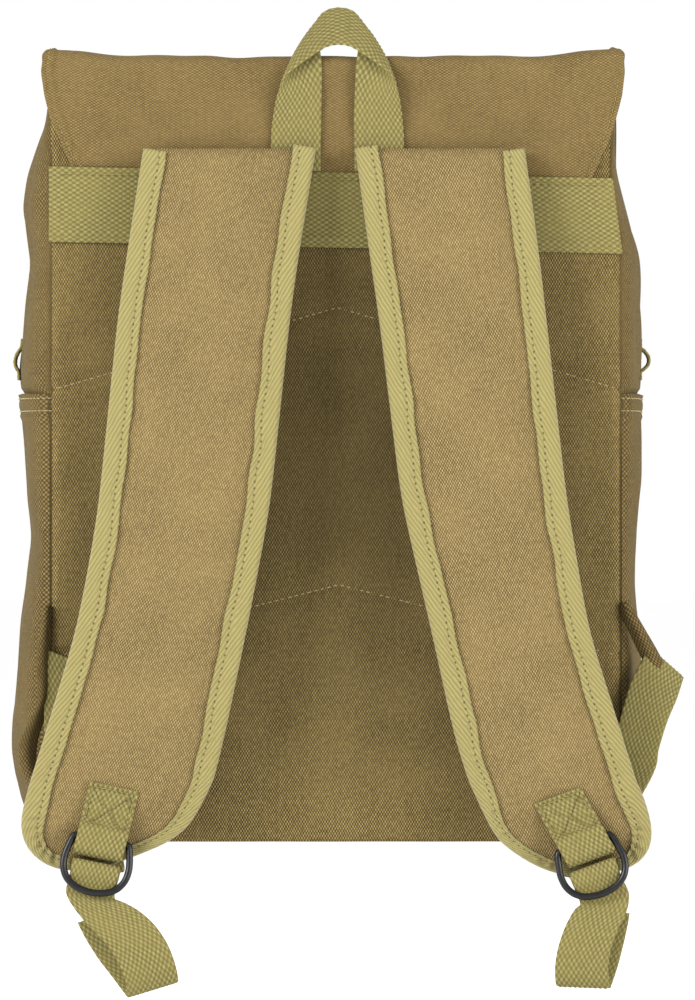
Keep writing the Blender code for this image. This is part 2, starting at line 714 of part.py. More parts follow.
def make_adjuster(side, webbing):
    """Webbing from the ear behind the strap, over the back ring, between the rings and down."""
    place = RingPlace(side)
    half = WEBBING / 2
    corner = ear_corner(side)
    start_y = ear_seat(side) - EAR_WALL - GAP - WEBBING_WALL / 2
    start = Vector((corner.x * (1 + side.hold_out), start_y, corner.z - ear_height(side) * EAR_HOLD))
    behind = place.at(RING_ARM + RING_WIDTH / 2, 0, 0)
    behind.y = -(BACK_BOW + 3 * WEBBING_WALL)
    way = behind - start
    outwards = Vector((side.sign, 0, 0))
    stations = []
    for row in ADJUSTER_RUN:
        swing = getattr(row, side.name + "_swing")
        point = start + way * row.along + outwards * swing * way.length
        stations.append((point, Vector((half, 0, 0))))
    over = RING_ARM + RING_WIDTH / 4
    entry = bar_level(0)
    pinched = half * ADJUSTER_PINCH
    crossing = [(over + row.below * WEBBING, -row.behind * ADJUSTER_REACH, half) for row in RING_APPROACH]
    crossing += [(over - ADJUSTER_BEND * math.sin(k * math.pi / 4), entry - ADJUSTER_BEND * math.cos(k * math.pi / 4),
                  pinched) for k in range(5)]
    crossing += [(over + 2 * RING_WIRE, entry + ADJUSTER_BEND, pinched),
                 (over + WEBBING * 0.44, entry + ADJUSTER_BEND + GAP, half)]
    for down, out, width in crossing:
        stations.append((place.at(down, 0, out), place.across * width))
    rise = math.radians(side.tail_tilt)
    across = Vector((math.cos(rise), 0, math.sin(rise)))
    for row in LEFT_TAIL if side.sign < 0 else RIGHT_TAIL:
        point = place.origin + Vector((row.drift * TAIL_DROP, 0, -row.fall * TAIL_DROP))
        point.y = place.origin.y - (row.near - 0.3) * TAIL_LOOP
        stations.append((point, across * half))
    centres = through([centre for centre, _ in stations], 2)
    widths = through([width for _, width in stations], 2)
    swept("adjuster_" + side.name, ribbon_loops(list(zip(centres, widths)), WEBBING_WALL), webbing)


def build():
    for old in list(bpy.data.objects):
        bpy.data.objects.remove(old)
    canvas = finish_material("canvas", (0.33, 0.24, 0.09), 0.9)
    dark_canvas = finish_material("back_canvas", (0.22, 0.15, 0.05), 0.9)
    webbing = finish_material("cotton_webbing", (0.46, 0.38, 0.12), 0.85)
    metal = finish_material("black_wire", (0.01, 0.01, 0.012), 0.35, 0.6)
    make_panels(canvas, dark_canvas)
    make_side_pockets(canvas)
    make_pocket_loops(webbing)
    make_flap(canvas)
    make_stud(metal)
    make_band(webbing)
    make_handle(webbing)
    for side in SIDES:
        make_strap(side, canvas)
        make_binding(side, webbing)
        make_ring_tab(side, webbing)
        make_ear(side, canvas)
        make_adjuster(side, webbing)
        for index in (0, 1):
            make_d_ring(side, index, metal)


build()
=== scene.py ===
import math

import bpy
import numpy as np
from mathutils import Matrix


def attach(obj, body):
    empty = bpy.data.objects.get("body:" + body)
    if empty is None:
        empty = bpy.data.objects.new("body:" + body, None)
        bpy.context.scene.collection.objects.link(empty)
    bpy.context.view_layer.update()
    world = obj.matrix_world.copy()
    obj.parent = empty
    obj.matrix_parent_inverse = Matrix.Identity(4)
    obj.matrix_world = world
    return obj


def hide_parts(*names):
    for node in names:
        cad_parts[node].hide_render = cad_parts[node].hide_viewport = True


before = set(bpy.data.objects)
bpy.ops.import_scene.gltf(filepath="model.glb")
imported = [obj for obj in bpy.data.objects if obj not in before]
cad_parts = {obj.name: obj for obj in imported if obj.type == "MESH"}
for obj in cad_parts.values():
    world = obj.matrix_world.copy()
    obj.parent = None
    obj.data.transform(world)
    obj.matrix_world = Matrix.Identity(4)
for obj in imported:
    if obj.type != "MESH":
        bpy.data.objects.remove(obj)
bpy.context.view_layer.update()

# Camera, lights and floor
# The bag hangs before a white studio wall and is taken straight on with a long lens from far away,
# under large soft lights, so it shows hardly any perspective and no hard shadow.
VIEW_HEIGHT = 0.500
VIEW_X = 0.00575
VIEW_Z = -0.229
CAMERA_BACK = 4.5
FRAMED_Y = -0.017
SENSOR = 24.0
FLOOR_LEVEL = -0.56


def linear(colour):
    """An sRGB hex colour as the linear red, green, blue and alpha that a shader takes."""
    shares = [int(colour[i:i + 2], 16) / 255 for i in (1, 3, 5)]
    lit = [s / 12.92 if s <= 0.04045 else ((s + 0.055) / 1.055) ** 2.4 for s in shares]
    return (*lit, 1.0)


def put(tree, kind, sockets=None, **settings):
    """Add a node with its settings, fill or link its sockets, and give its first live output."""
    node = tree.nodes.new(kind)
    for setting, value in settings.items():
        setattr(node, setting, value)
    for socket, value in (sockets or {}).items():
        if isinstance(value, bpy.types.NodeSocket):
            tree.links.new(value, node.inputs[socket])
        else:
            node.inputs[socket].default_value = value
    return next(out for out in node.outputs if out.enabled)


def new_material(name):
    """An empty material, its tree and its shader."""
    material = bpy.data.materials.new(name)
    material.use_nodes = True
    return material, material.node_tree, material.node_tree.nodes["Principled BSDF"]


bpy.context.scene.view_settings.view_transform = "Standard"
lens = SENSOR * (CAMERA_BACK + FRAMED_Y) / VIEW_HEIGHT
bpy.ops.object.camera_add(location=(VIEW_X, -CAMERA_BACK, VIEW_Z), rotation=(math.pi / 2, 0, 0))
camera = bpy.context.object
camera.data.sensor_fit = "VERTICAL"
camera.data.sensor_height = SENSOR
camera.data.lens = lens
camera.data.clip_end = 60
bpy.context.scene.camera = camera

world = bpy.data.worlds.new("white_studio")
bpy.context.scene.world = world
world.use_nodes = True
world.node_tree.nodes["Background"].inputs["Color"].default_value = (1, 1, 1, 1)
world.node_tree.nodes["Background"].inputs["Strength"].default_value = 1.0

LAMPS = [((-2.2, -1.7, 0.9), 1.3, 120), ((2.3, -1.6, 0.2), 1.3, 80), ((0.0, 2.4, 1.2), 2.0, 20)]
for place, size, power in LAMPS:
    bpy.ops.object.light_add(type="AREA", location=place)
    lamp = bpy.context.object
    lamp.data.size = size
    lamp.data.energy = power
    aim = -lamp.location
    aim.z += VIEW_Z
    lamp.rotation_euler = aim.to_track_quat("-Z", "Y").to_euler()

# Matt white studio paint: it only catches a faint soft shadow
paint, tree, shader = new_material("white_studio_paint")
shader.inputs["Roughness"].default_value = 0.9
shader.inputs["Base Color"].default_value = linear("#fefefe")
bpy.ops.mesh.primitive_plane_add(size=50, location=(0, 0, FLOOR_LEVEL))
floor = bpy.context.object
floor.name = "studio_floor"
floor.data.materials.append(paint)

# Back panel
# The panel against the wearer's back, of washed cotton canvas over thin foam, held by two rows
# of chevron quilting in pale thread, its edges turned in where the sides are sewn on.
HALF_WIDTH = 0.143
TOP = -0.014
BOTTOM = -0.400
BODY_HEIGHT = 0.386
BODY_DEPTH = 0.127
CANVAS_WALL = 0.002
GAP = 0.0003
BACK_BOW = 0.004
FRONT_BOW = 0.016
PANEL_FOOT = BOTTOM + CANVAS_WALL + GAP
PANEL_SIZE = (2 * HALF_WIDTH, TOP - PANEL_FOOT)
BACK_DROP = 0.0028
BACK_EASE = 1.007
WARP_STEP = 0.00068
WEFT_STEP = 0.00117
# Size and height of the patch of painted shade that the straps cast on the back's canvas
PAINTED_SHADE_HALF = (0.085, 0.17)
PAINTED_SHADE_LEVEL = -0.2


def smooth(share):
    """An ease from 0 to 1 for shares that may run past either end."""
    share = np.clip(share, 0.0, 1.0)
    return share * share * (3 - 2 * share)


def ripple(u, v, length, seed):
    """Soft cloth unevenness from about -1 to 1, with waves near the given length."""
    rng = np.random.default_rng(seed)
    total = np.zeros_like(u)
    for _ in range(8):
        turn = rng.uniform(0, math.pi)
        wave = length * rng.uniform(0.7, 1.6)
        phase = rng.uniform(0, 2 * math.pi)
        total += np.sin(2 * math.pi * (u * math.cos(turn) + v * math.sin(turn)) / wave + phase)
    return total / 3.2


def shape_mesh(name, points, quads, uvs):
    """A mesh object from points, four-cornered faces and a flat-cloth place in metres for each point."""
    mesh = bpy.data.meshes.new(name)
    mesh.from_pydata(np.asarray(points).tolist(), [], np.asarray(quads).tolist())
    layer = mesh.uv_layers.new(name="cloth")
    corner_points = np.empty(len(mesh.loops), dtype=np.int64)
    mesh.loops.foreach_get("vertex_index", corner_points)
    layer.data.foreach_set("uv", np.asarray(uvs)[corner_points].ravel())
    mesh.shade_smooth()
    piece = bpy.data.objects.new(name, mesh)
    bpy.context.scene.collection.objects.link(piece)
    return piece


def grid_quads(across, along):
    """Faces of a grid whose points run across first."""
    i, j = np.meshgrid(np.arange(across - 1), np.arange(along - 1))
    start = (j * across + i).ravel()
    return np.stack([start, start + 1, start + 1 + across, start + across], axis=1)


def give_wall(piece, wall, material, offset=-1):
    """Grow a sheet to the thickness of its wall, and dress it."""
    solidify = piece.modifiers.new("wall", "SOLIDIFY")
    solidify.thickness = wall
    solidify.offset = offset
    piece.data.materials.append(material)


def lay_cloth(name, place, size, step, material):
    """A canvas of the given flat size: place(u, v) lays its outer face, and its wall goes behind."""
    across = max(int(round(size[0] / step)), 2) + 1
    along = max(int(round(size[1] / step)), 2) + 1
    u, v = np.meshgrid(np.linspace(0, size[0], across), np.linspace(0, size[1], along))
    u = u.ravel()
    v = v.ravel()
    points = np.stack(place(u, v), axis=1)
    piece = shape_mesh(name, points, grid_quads(across, along), np.stack([u, v], axis=1))
    give_wall(piece, CANVAS_WALL, material)
    return piece


def hand_over(piece, slot, *nodes):
    """The piece hangs with the bag and stands for its nodes; slot is not used."""
    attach(piece, "root")
    if nodes:
        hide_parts(*nodes)


def crossings(tree, cloth, steps):
    """The weave as a wave over both threads: 1 where one of them lies on top, and -1 where the other does."""
    threads = put(tree, "ShaderNodeVectorMath", {0: cloth, 1: (math.pi / steps[0], math.pi / steps[1], 1.0)},
                  operation="MULTIPLY")
    threads = put(tree, "ShaderNodeSeparateXYZ", {0: threads})
    warp = put(tree, "ShaderNodeMath", {0: threads}, operation="SINE")
    weft = put(tree, "ShaderNodeMath", {0: threads.node.outputs["Y"]}, operation="SINE")
    return put(tree, "ShaderNodeMath", {0: warp, 1: weft}, operation="MULTIPLY")


def finish_cloth(tree, shader, tone, height, relief, strength, roughness, gloss):
    """The colour and the threads' relief go to the shader, with its roughness and its weak gloss."""
    bump = put(tree, "ShaderNodeBump", {"Height": height, "Distance": relief, "Strength": strength})
    tree.links.new(tone, shader.inputs["Base Color"])
    tree.links.new(bump, shader.inputs["Normal"])
    shader.inputs["Roughness"].default_value = roughness
    shader.inputs["Specular IOR Level"].default_value = gloss


def canvas_finish(name, deep, fleck, worn, steps=(WARP_STEP, WEFT_STEP), painted_shade=0.0):
    """Stone-washed cotton canvas: each proud warp float shows as a pale fleck on a darker ground.

    Where the last argument is more than 0, a patch between the straps is painted that much darker: painted
    shade of the straps.
    """
    material, tree, shader = new_material(name)
    cloth = put(tree, "ShaderNodeUVMap", uv_map="cloth")
    wander = put(tree, "ShaderNodeTexNoise", {"Vector": cloth, "Scale": 90.0, "Detail": 2.0})
    wander = put(tree, "ShaderNodeVectorMath", {0: wander.node.outputs["Color"], 1: (0.5, 0.5, 0.5)},
                 operation="SUBTRACT")
    wander = put(tree, "ShaderNodeVectorMath", {0: wander, "Scale": 0.0012}, operation="SCALE")
    threads = put(tree, "ShaderNodeVectorMath", {0: cloth, 1: wander}, operation="ADD")
    crossing = crossings(tree, threads, steps)
    raised = put(tree, "ShaderNodeMapRange", {0: crossing, 1: -0.3, 2: 0.75})
    grains = put(tree, "ShaderNodeTexNoise", {"Vector": cloth, "Scale": 480.0, "Detail": 2.0})
    grains = put(tree, "ShaderNodeMapRange", {0: grains, 1: 0.34, 2: 0.66, 3: 0.5, 4: 1.0})
    pale = put(tree, "ShaderNodeMath", {0: raised, 1: grains}, operation="MULTIPLY")
    slub = put(tree, "ShaderNodeVectorMath", {0: cloth, 1: (700.0, 45.0, 1.0)}, operation="MULTIPLY")
    slub = put(tree, "ShaderNodeTexNoise", {"Vector": slub, "Scale": 1.0, "Detail": 3.0})
    slub = put(tree, "ShaderNodeMapRange", {0: slub, 1: 0.35, 2: 0.7, 3: 0.0, 4: 0.22})
    washed = put(tree, "ShaderNodeTexNoise",
                 {"Vector": cloth, "Scale": 24.0, "Detail": 7.0, "Roughness": 0.66})
    washed = put(tree, "ShaderNodeMapRange", {0: washed, 1: 0.38, 2: 0.64, 3: 0.0, 4: 0.42})
    tone = put(tree, "ShaderNodeMix", {0: slub, 6: linear(deep), 7: linear(worn)}, data_type="RGBA")
    tone = put(tree, "ShaderNodeMix", {0: washed, 6: tone, 7: linear(worn)}, data_type="RGBA")
    tone = put(tree, "ShaderNodeMix", {0: pale, 6: tone, 7: linear(fleck)}, data_type="RGBA")
    # Painted shade: the patch between the straps, where they shade the back, is darkened towards the deep
    # colour
    if painted_shade:
        spot = put(tree, "ShaderNodeTexCoord").node.outputs["Object"]
        spot = put(tree, "ShaderNodeVectorMath", {0: spot, 1: (1 / PAINTED_SHADE_HALF[0], 0.0, 1 / PAINTED_SHADE_HALF[1])},
                   operation="MULTIPLY")
        spot = put(tree, "ShaderNodeVectorMath", {0: spot, 1: (0.0, 0.0, -PAINTED_SHADE_LEVEL / PAINTED_SHADE_HALF[1])},
                   operation="ADD")
        spot = put(tree, "ShaderNodeVectorMath", {0: spot}, operation="LENGTH").node.outputs["Value"]
        spot = put(tree, "ShaderNodeMapRange", {0: spot, 1: 0.25, 2: 1.15, 3: painted_shade, 4: 0.0})
        tone = put(tree, "ShaderNodeMix", {0: spot, 6: tone, 7: linear(deep)}, data_type="RGBA")
    finish_cloth(tree, shader, tone, crossing, 0.00016, 0.8, 0.95, 0.15)
    return material


# Washed cotton canvas in khaki: matt, with pale raised threads over a darker ground. The flap's is
# cut the other way of the cloth, and the back's has painted shade between the straps, where they shade it.
strap_canvas = canvas_finish("washed_canvas", "#45391e", "#9a865c", "#6d5c37")
flap_canvas = canvas_finish("washed_canvas_flap", "#46391e", "#806c44", "#655432", (WEFT_STEP, WARP_STEP))
side_canvas = canvas_finish("washed_canvas_sides", "#342a14", "#796740", "#524426")
back_canvas = canvas_finish("washed_canvas_back", "#2b220e", "#93804f", "#5b4c2c", painted_shade=0.44)


def back_y(x, z):
    """Outer face of the back panel, which bows towards the wearer."""
    across = np.maximum(1 - (x / HALF_WIDTH) ** 2, 0.0)
    down = np.clip((TOP - z) / BODY_HEIGHT, 0.0, 1.0)
    return -BACK_BOW * across * np.sin(math.pi * down)


def edge_x(sign, z):
    """Half the width of the bag at a height: the shoulders draw in under the flap, more on the right."""
    if sign > 0:
        return HALF_WIDTH * (1.004 - 0.036 * smooth((z + 0.108) / 0.045))
    return HALF_WIDTH * (1.006 - 0.02 * smooth((z + 0.046) / 0.03))


def drawn_in(x, z):
    """A place across the panel, moved in with the shoulders."""
    return x * np.where(x > 0, edge_x(1, z), edge_x(-1, z)) / HALF_WIDTH


def upper_chevron(x):
    """Height of the upper quilting line."""
    return -0.1325 - 0.29 * np.abs(x - 0.0005)


def lower_chevron(x):
    """Height of the lower quilting line."""
    return -0.2715 - 0.255 * np.abs(x - 0.0015)


def quilting(x, z):
    """How far the quilting pulls the panel in, and the foam swells beside it."""
    pull = np.zeros_like(x)
    for line in (upper_chevron, lower_chevron):
        away = (z - line(x)) * 0.96
        pull += 0.0011 * np.exp(-(away / 0.0016) ** 2)
        pull -= 0.0005 * np.exp(-((np.abs(away) - 0.007) / 0.005) ** 2)
    return pull


def place_back(u, v):
    """Place on the back panel, which hangs a little over the base's seam."""
    x = u - HALF_WIDTH
    z = PANEL_FOOT - BACK_DROP + v * BACK_EASE
    rim = HALF_WIDTH - np.abs(x)
    turned_in = 0.0034 * smooth(1 - rim / 0.0045) ** 2 + 0.0012 * smooth(1 - v / 0.005)
    worn = 0.0008 * ripple(x, z, 0.055, 3) * smooth(rim / 0.02) * smooth((-0.1 - z) / 0.03)
    return drawn_in(x, z), back_y(x, z) + quilting(x, z) + turned_in + worn, z


back_panel = lay_cloth("back_panel_canvas", place_back, PANEL_SIZE, 0.0024, back_canvas)
hand_over(back_panel, "back_canvas", "back_panel")


def speckled(name, dark, light, scale, detail):
    """A material whose colour wanders between two tones in fine grains, with the grain for further use."""
    material, tree, shader = new_material(name)
    grain = put(tree, "ShaderNodeTexCoord").node.outputs["Object"]
    grain = put(tree, "ShaderNodeTexNoise", {"Vector": grain, "Scale": scale, "Detail": detail})
    tone = put(tree, "ShaderNodeMix", {0: grain, 6: linear(dark), 7: linear(light)}, data_type="RGBA")
    tree.links.new(tone, shader.inputs["Base Color"])
    return material, tree, shader, grain


# Cotton thread in pale khaki: each stitch is a short raised bead that catches the light
thread, _, shader, _ = speckled("cotton_thread", "#6f6340", "#a09570", 900.0, 2.0)
shader.inputs["Roughness"].default_value = 0.7

# Cotton thread dyed olive with the webbing: darker, and a little duller
olive_thread, _, shader, _ = speckled("olive_thread", "#5f552a", "#8a7d45", 900.0, 2.0)
shader.inputs["Roughness"].default_value = 0.75


def tube_quads(sides, rows):
    """Faces round a tube whose points run round first."""
    i, j = np.meshgrid(np.arange(sides), np.arange(rows - 1))
    first = (j * sides + i).ravel()
    after = (j * sides + (i + 1) % sides).ravel()
    return np.stack([first, after, after + sides, first + sides], axis=1)


def turn_outward(piece, end_sides=0):
    """Close the open ends of a piece's tubes, which have this many sides, and turn its faces outward."""
    bpy.ops.object.select_all(action="DESELECT")
    bpy.context.view_layer.objects.active = piece
    piece.select_set(True)
    bpy.ops.object.mode_set(mode="EDIT")
    bpy.ops.mesh.select_all(action="SELECT")
    if end_sides:
        bpy.ops.mesh.fill_holes(sides=end_sides)
    bpy.ops.mesh.normals_make_consistent(inside=False)
    bpy.ops.object.mode_set(mode="OBJECT")
    piece.select_set(False)


def run_lengths(points):
    """How far along a run each of its points lies."""
    return np.concatenate([[0], np.cumsum(np.linalg.norm(np.diff(points, axis=0), axis=1))])


def sew(name, lines, material, stitch=0.0024, pitch=0.0034, radius=0.00032):
    """Rows of stitches along lines of (point, outward) pairs: short beads that dip at both ends."""
    stations = 5
    sides = 5
    turns = np.arange(sides) * 2 * math.pi / sides
    arch = np.sin(np.linspace(0, math.pi, stations))
    lift = radius * (arch * 1.1 - 0.5)
    thick = radius * (0.45 + 0.55 * arch)
    beads = []
    for line, outward in lines:
        lengths = run_lengths(line)
        for start in np.arange(pitch / 2, lengths[-1] - stitch, pitch):
            at = start + np.linspace(0, stitch, stations)
            centre = np.stack([np.interp(at, lengths, line[:, k]) for k in range(3)], axis=1)
            up = np.stack([np.interp(at, lengths, outward[:, k]) for k in range(3)], axis=1)
            up /= np.linalg.norm(up, axis=1, keepdims=True)
            along = centre[-1] - centre[0]
            along /= np.linalg.norm(along)
            side = np.cross(along, up)
            rise = (lift[:, None] + thick[:, None] * np.cos(turns))[:, :, None]
            spread = (thick[:, None] * np.sin(turns))[:, :, None]
            points = centre[:, None, :] + up[:, None, :] * rise + side[:, None, :] * spread
            beads.append(points.reshape(-1, 3))
    bead = tube_quads(sides, stations)
    quads = np.concatenate([bead + k * stations * sides for k in range(len(beads))])
    piece = shape_mesh(name, np.concatenate(beads), quads, np.zeros((len(beads) * stations * sides, 2)))
    piece.data.materials.append(material)
    turn_outward(piece, end_sides=sides)
    return piece


def back_line(height):
    """A quilting line that lies on the back panel."""
    x = np.linspace(-0.1405, 0.1405, 160)
    z = height(x)
    y = place_back(x + HALF_WIDTH, (z - PANEL_FOOT + BACK_DROP) / BACK_EASE)[1] - 0.0002
    return np.stack([drawn_in(x, z), y, z], axis=1), np.tile((0.0, -1.0, 0.0), (len(x), 1))


quilt_thread = sew("back_quilting_thread", [back_line(upper_chevron), back_line(lower_chevron)], thread)
hand_over(quilt_thread, "binding_tape")

# Sides
# A long canvas gusset on each side joins back and front. The load fills it, so it swells between
# the seams and creases where it is pulled in above the pocket and at the strap's tab.
SEAM = CANVAS_WALL + GAP
SIDE_WIDTH = BODY_DEPTH - 2 * SEAM
POCKET_HEIGHT = 0.222
POCKET_TOP = PANEL_FOOT + POCKET_HEIGHT
POCKET_SLACK = 0.009
LEFT_SWELL = [(-14, 1), (-40, 1.5), (-50, 5.5), (-64, 10), (-81, 12.7), (-92, 11.2), (-109, 8.4),
              (-129, 11.4), (-153, 13.6), (-162, 14.5), (-175, 13.6), (-192, 12.5), (-229, 11),
              (-249, 8.2), (-259, 9.3), (-274, 11.3), (-291, 14.3), (-320, 17), (-339, 18.2), (-358, 17.8),
              (-370, 16.3), (-381, 13.2), (-392, 8), (-400, 2.5)]
RIGHT_SWELL = [(-14, 0.5), (-58, 0.5), (-72, 2.8), (-89, 4.8), (-108, 7.2), (-139, 9.2), (-157, 9.2),
               (-171, 8), (-177, 7.3), (-186, 7.8), (-199, 8.7), (-219, 9), (-252, 7), (-272, 5.6),
               (-285, 6), (-300, 7.5), (-330, 8.5), (-360, 9), (-380, 7.5), (-392, 4.5), (-400, 1.5)]


def across_side(y):
    """Share of the way round a side, which turns in steeply at its seams."""
    return np.arccos(np.clip(1 - 2 * (y - SEAM) / SIDE_WIDTH, -1.0, 1.0)) / math.pi


def side_swell(sign, y, z):
    """How far a filled side stands out beyond its seams, with the creases in it."""
    table = np.array(LEFT_SWELL if sign < 0 else RIGHT_SWELL) / 1000 + (0.0, 0.0020)
    most = sum(np.interp(z + k * 0.003, table[::-1, 0], table[::-1, 1]) for k in (-1, 0, 1)) / 3
    share = across_side(y)
    full = np.sin(math.pi * share) ** 0.8
    creases = ripple(y * 1.6, z * 0.55, 0.05, 11 if sign < 0 else 12) * 0.0012
    creases += ripple(y, z * 0.4, 0.022, 21 if sign < 0 else 22) * 0.0004
    return most * full + creases * np.sin(math.pi * share)


def pocket_space(y, z):
    """How far the side lies back behind its pocket."""
    share = np.clip((y - SEAM) / SIDE_WIDTH, 0.0, 1.0)
    behind = 0.0028 * smooth((POCKET_TOP + 0.004 - z) / 0.006)
    slack = POCKET_SLACK * smooth((POCKET_TOP - 0.003 - z) / 0.018)
    slack = slack * smooth((z - PANEL_FOOT) / (4 * POCKET_SLACK))
    return behind + slack * np.sin(math.pi * share) ** 0.5


def round_side(sign, u):
    """Depth of a place on a side, whose points stand closer together near both seams."""
    return BODY_DEPTH / 2 - sign * (BODY_DEPTH / 2 - SEAM) * np.cos(math.pi * u / SIDE_WIDTH)


def rolled_seam(y):
    """How much the cloth beside the back seam rolls over it, from 0 to 1."""
    return np.sin(math.pi * np.clip((y - SEAM) / 0.007, 0, 1))


def place_side(sign, u, v):
    """Place on a side, tucked in at both seams."""
    y = round_side(sign, u)
    z = PANEL_FOOT + v
    tuck = 0.0028 * smooth(1 - (y - SEAM) / 0.0016) + 0.0015 * smooth(1 - (BODY_DEPTH - SEAM - y) / 0.004)
    y = y - 0.0032 * rolled_seam(y) * smooth((-0.04 - z) / 0.02)
    return sign * (edge_x(sign, z) + side_swell(sign, y, z) - pocket_space(y, z) - tuck), y, z


SIDES = ((-1, "left"), (1, "right"))
SIDE_SIZE = (SIDE_WIDTH, TOP - PANEL_FOOT)
for sign, side in SIDES:
    gusset = lay_cloth("side_panel_canvas_" + side, lambda u, v: place_side(sign, u, v), SIDE_SIZE, 0.0026,
                       side_canvas)
    hand_over(gusset, "canvas", "side_panel_" + side)

# Front and base
# The front is one plain canvas panel that bows over the load, with a doubled foot stitched twice
# above the base; the base is a flat canvas panel sewn in behind it.
FOOT_HEIGHT = 0.060


def front_y(x, z):
    """Outer face of the front panel."""
    across = np.maximum(1 - (x / HALF_WIDTH) ** 2, 0.0)
    down = np.clip((TOP - z) / BODY_HEIGHT, 0.0, 1.0)
    return BODY_DEPTH + FRONT_BOW * across * np.sin(math.pi * down ** 0.8)


def place_front(u, v):
    """Place on the front panel, with its doubled foot and its edges turned in."""
    x = HALF_WIDTH - u
    z = PANEL_FOOT + v
    rim = HALF_WIDTH - np.abs(x)
    y = front_y(x, z) + 0.001 * ripple(x, z, 0.06, 5) * smooth(rim / 0.02) * smooth((-0.235 - z) / 0.02)
    y += 0.0009 * smooth((FOOT_HEIGHT - v) / 0.0012) - 0.0026 * smooth(1 - rim / 0.005) ** 2
    return drawn_in(x, z), y - 0.0012 * smooth(1 - v / 0.005), z


front_panel = lay_cloth("front_panel_canvas", place_front, PANEL_SIZE, 0.0026, side_canvas)
hand_over(front_panel, "canvas", "front_panel")


def front_line(drop):
    """A row of stitches on the front panel, this far under the top of its foot."""
    x = np.linspace(-0.140, 0.140, 120)
    z = np.full_like(x, PANEL_FOOT + FOOT_HEIGHT - drop)
    y = place_front(HALF_WIDTH - x, z - PANEL_FOOT)[1] + 0.0002
    return np.stack([drawn_in(x, z), y, z], axis=1), np.tile((0.0, 1.0, 0.0), (len(x), 1))


foot_thread = sew("front_foot_thread", [front_line(0.003), front_line(0.009)], thread)
hand_over(foot_thread, "binding_tape")


def place_base(u, v):
    """Place on the base, with its edges drawn up into the seams."""
    x = u - HALF_WIDTH
    y = BODY_DEPTH - SEAM - v
    rim = np.minimum(HALF_WIDTH - np.abs(x), np.minimum(y, BODY_DEPTH - y))
    lift = 0.0012 * smooth(1 - rim / 0.006)
    return x, y, BOTTOM + lift + 0.0003 * ripple(x, y, 0.05, 8) * smooth(rim / 0.02)


base_panel = lay_cloth("base_panel_canvas", place_base, (2 * HALF_WIDTH, SIDE_WIDTH), 0.003, side_canvas)
hand_over(base_panel, "canvas", "base_panel")

# Side pockets
# An open canvas pocket on the lower part of each side, with a hem folded inwards at its mouth and
# two rows of pale stitching under it; seams at back, front and foot hold it.
HEM = 0.013
HEM_ROWS = (0.0022, 0.0085)


def place_pocket(sign, u, v):
    """Place on a pocket, with its doubled hem and the two rows of stitches that press it in."""
    y = round_side(sign, u)
    z = PANEL_FOOT + v
    share = across_side(y)
    below = POCKET_HEIGHT - v
    hem = 0.0007 * smooth((HEM - below) / 0.0012) - 0.0005 * np.exp(-((below - HEM_ROWS[0]) / 0.001) ** 2)
    hem -= 0.0006 * np.exp(-((below - HEM_ROWS[1]) / 0.001) ** 2)
    slack = 0.0012 * np.sin(math.pi * share) * smooth(1 - below / 0.03)
    tuck = 0.0022 * smooth(1 - (y - SEAM) / 0.0016)
    y = y - 0.0036 * rolled_seam(y)
    return sign * (edge_x(sign, z) + side_swell(sign, y, z) + hem + slack - tuck), y, z


width = SIDE_WIDTH
for sign, side in SIDES:
    pocket = lay_cloth("side_pocket_canvas_" + side, lambda u, v: place_pocket(sign, u, v),
                       (width, POCKET_HEIGHT), 0.0022, side_canvas)
    hand_over(pocket, "canvas", "side_pocket_" + side)
    rows = []
    for below in HEM_ROWS:
        u = np.linspace(0.0005, width - 0.0005, 60)
        points = np.stack(place_pocket(sign, u, np.full_like(u, POCKET_HEIGHT - below)), axis=1)
        outward = np.cross(np.gradient(points, axis=0), (0.0, 0.0, 1.0))
        outward /= np.linalg.norm(outward, axis=1, keepdims=True)
        rows.append((points + outward * 0.0002, outward))
    hem_thread = sew("pocket_hem_thread_" + side, rows, thread)
    hand_over(hem_thread, "binding_tape")

# Webbing
# Heavy cotton webbing dyed olive: a plain weave of thick yarns, 1.25 mm apart across and 1.95 mm
# along, whose warp stands proud in staggered ovals, so the weave is in the mesh.
WARP_PITCH = 0.00125
WEFT_PITCH = 0.00195
WEBBING_WALL = 0.0016
WEBBING_HALF = 0.0125
YARN_RISE = 0.00034


def weave(u, v):
    """Height of the weave: rounded yarn floats that stand up from a flat ground."""
    crossing = np.sin(math.pi * u / WARP_PITCH) * np.sin(math.pi * v / WEFT_PITCH)
    return np.maximum(crossing, 0.0) ** 0.7


def through(points, steps):
    """A smooth run of points through the given ones, steps of them to each stretch."""
    points = np.asarray(points, dtype=float)
    run = []
    for i in range(len(points) - 1):
        before = points[max(i - 1, 0)]
        start = points[i]
        end = points[i + 1]
        after = points[min(i + 2, len(points) - 1)]
        for k in range(steps):
            t = k / steps
            bent = (2 * before - 5 * start + 4 * end - after) * t ** 2
            turned = (3 * start - before - 3 * end + after) * t ** 3
            run.append(0.5 * (2 * start + (end - before) * t + bent + turned))
    run.append(points[-1])
    return np.array(run)


def even_run(points, others, step):
    """Points an even step apart along a line, with its other columns carried along."""
    lengths = run_lengths(points)
    count = max(int(round(lengths[-1] / step)), 2) + 1
    at = np.linspace(0, lengths[-1], count)
    even = np.stack([np.interp(at, lengths, points[:, k]) for k in range(3)], axis=1)
    carried = np.stack([np.interp(at, lengths, others[:, k]) for k in range(others.shape[1])], axis=1)
    return even, carried, at


def sleeve_quads(columns, rows):
    """Faces of a flat sleeve, whose points run over its face and back behind it, closed at both ends."""
    sides = 2 * columns
    k = np.arange(columns - 1)
    last = (rows - 1) * sides
    start_end = np.stack([sides - 1 - k, sides - 2 - k, k + 1, k], axis=1)
    far_end = np.stack([last + k, last + k + 1, last + sides - 2 - k, last + sides - 1 - k], axis=1)
    return np.concatenate([tube_quads(sides, rows), start_end, far_end])


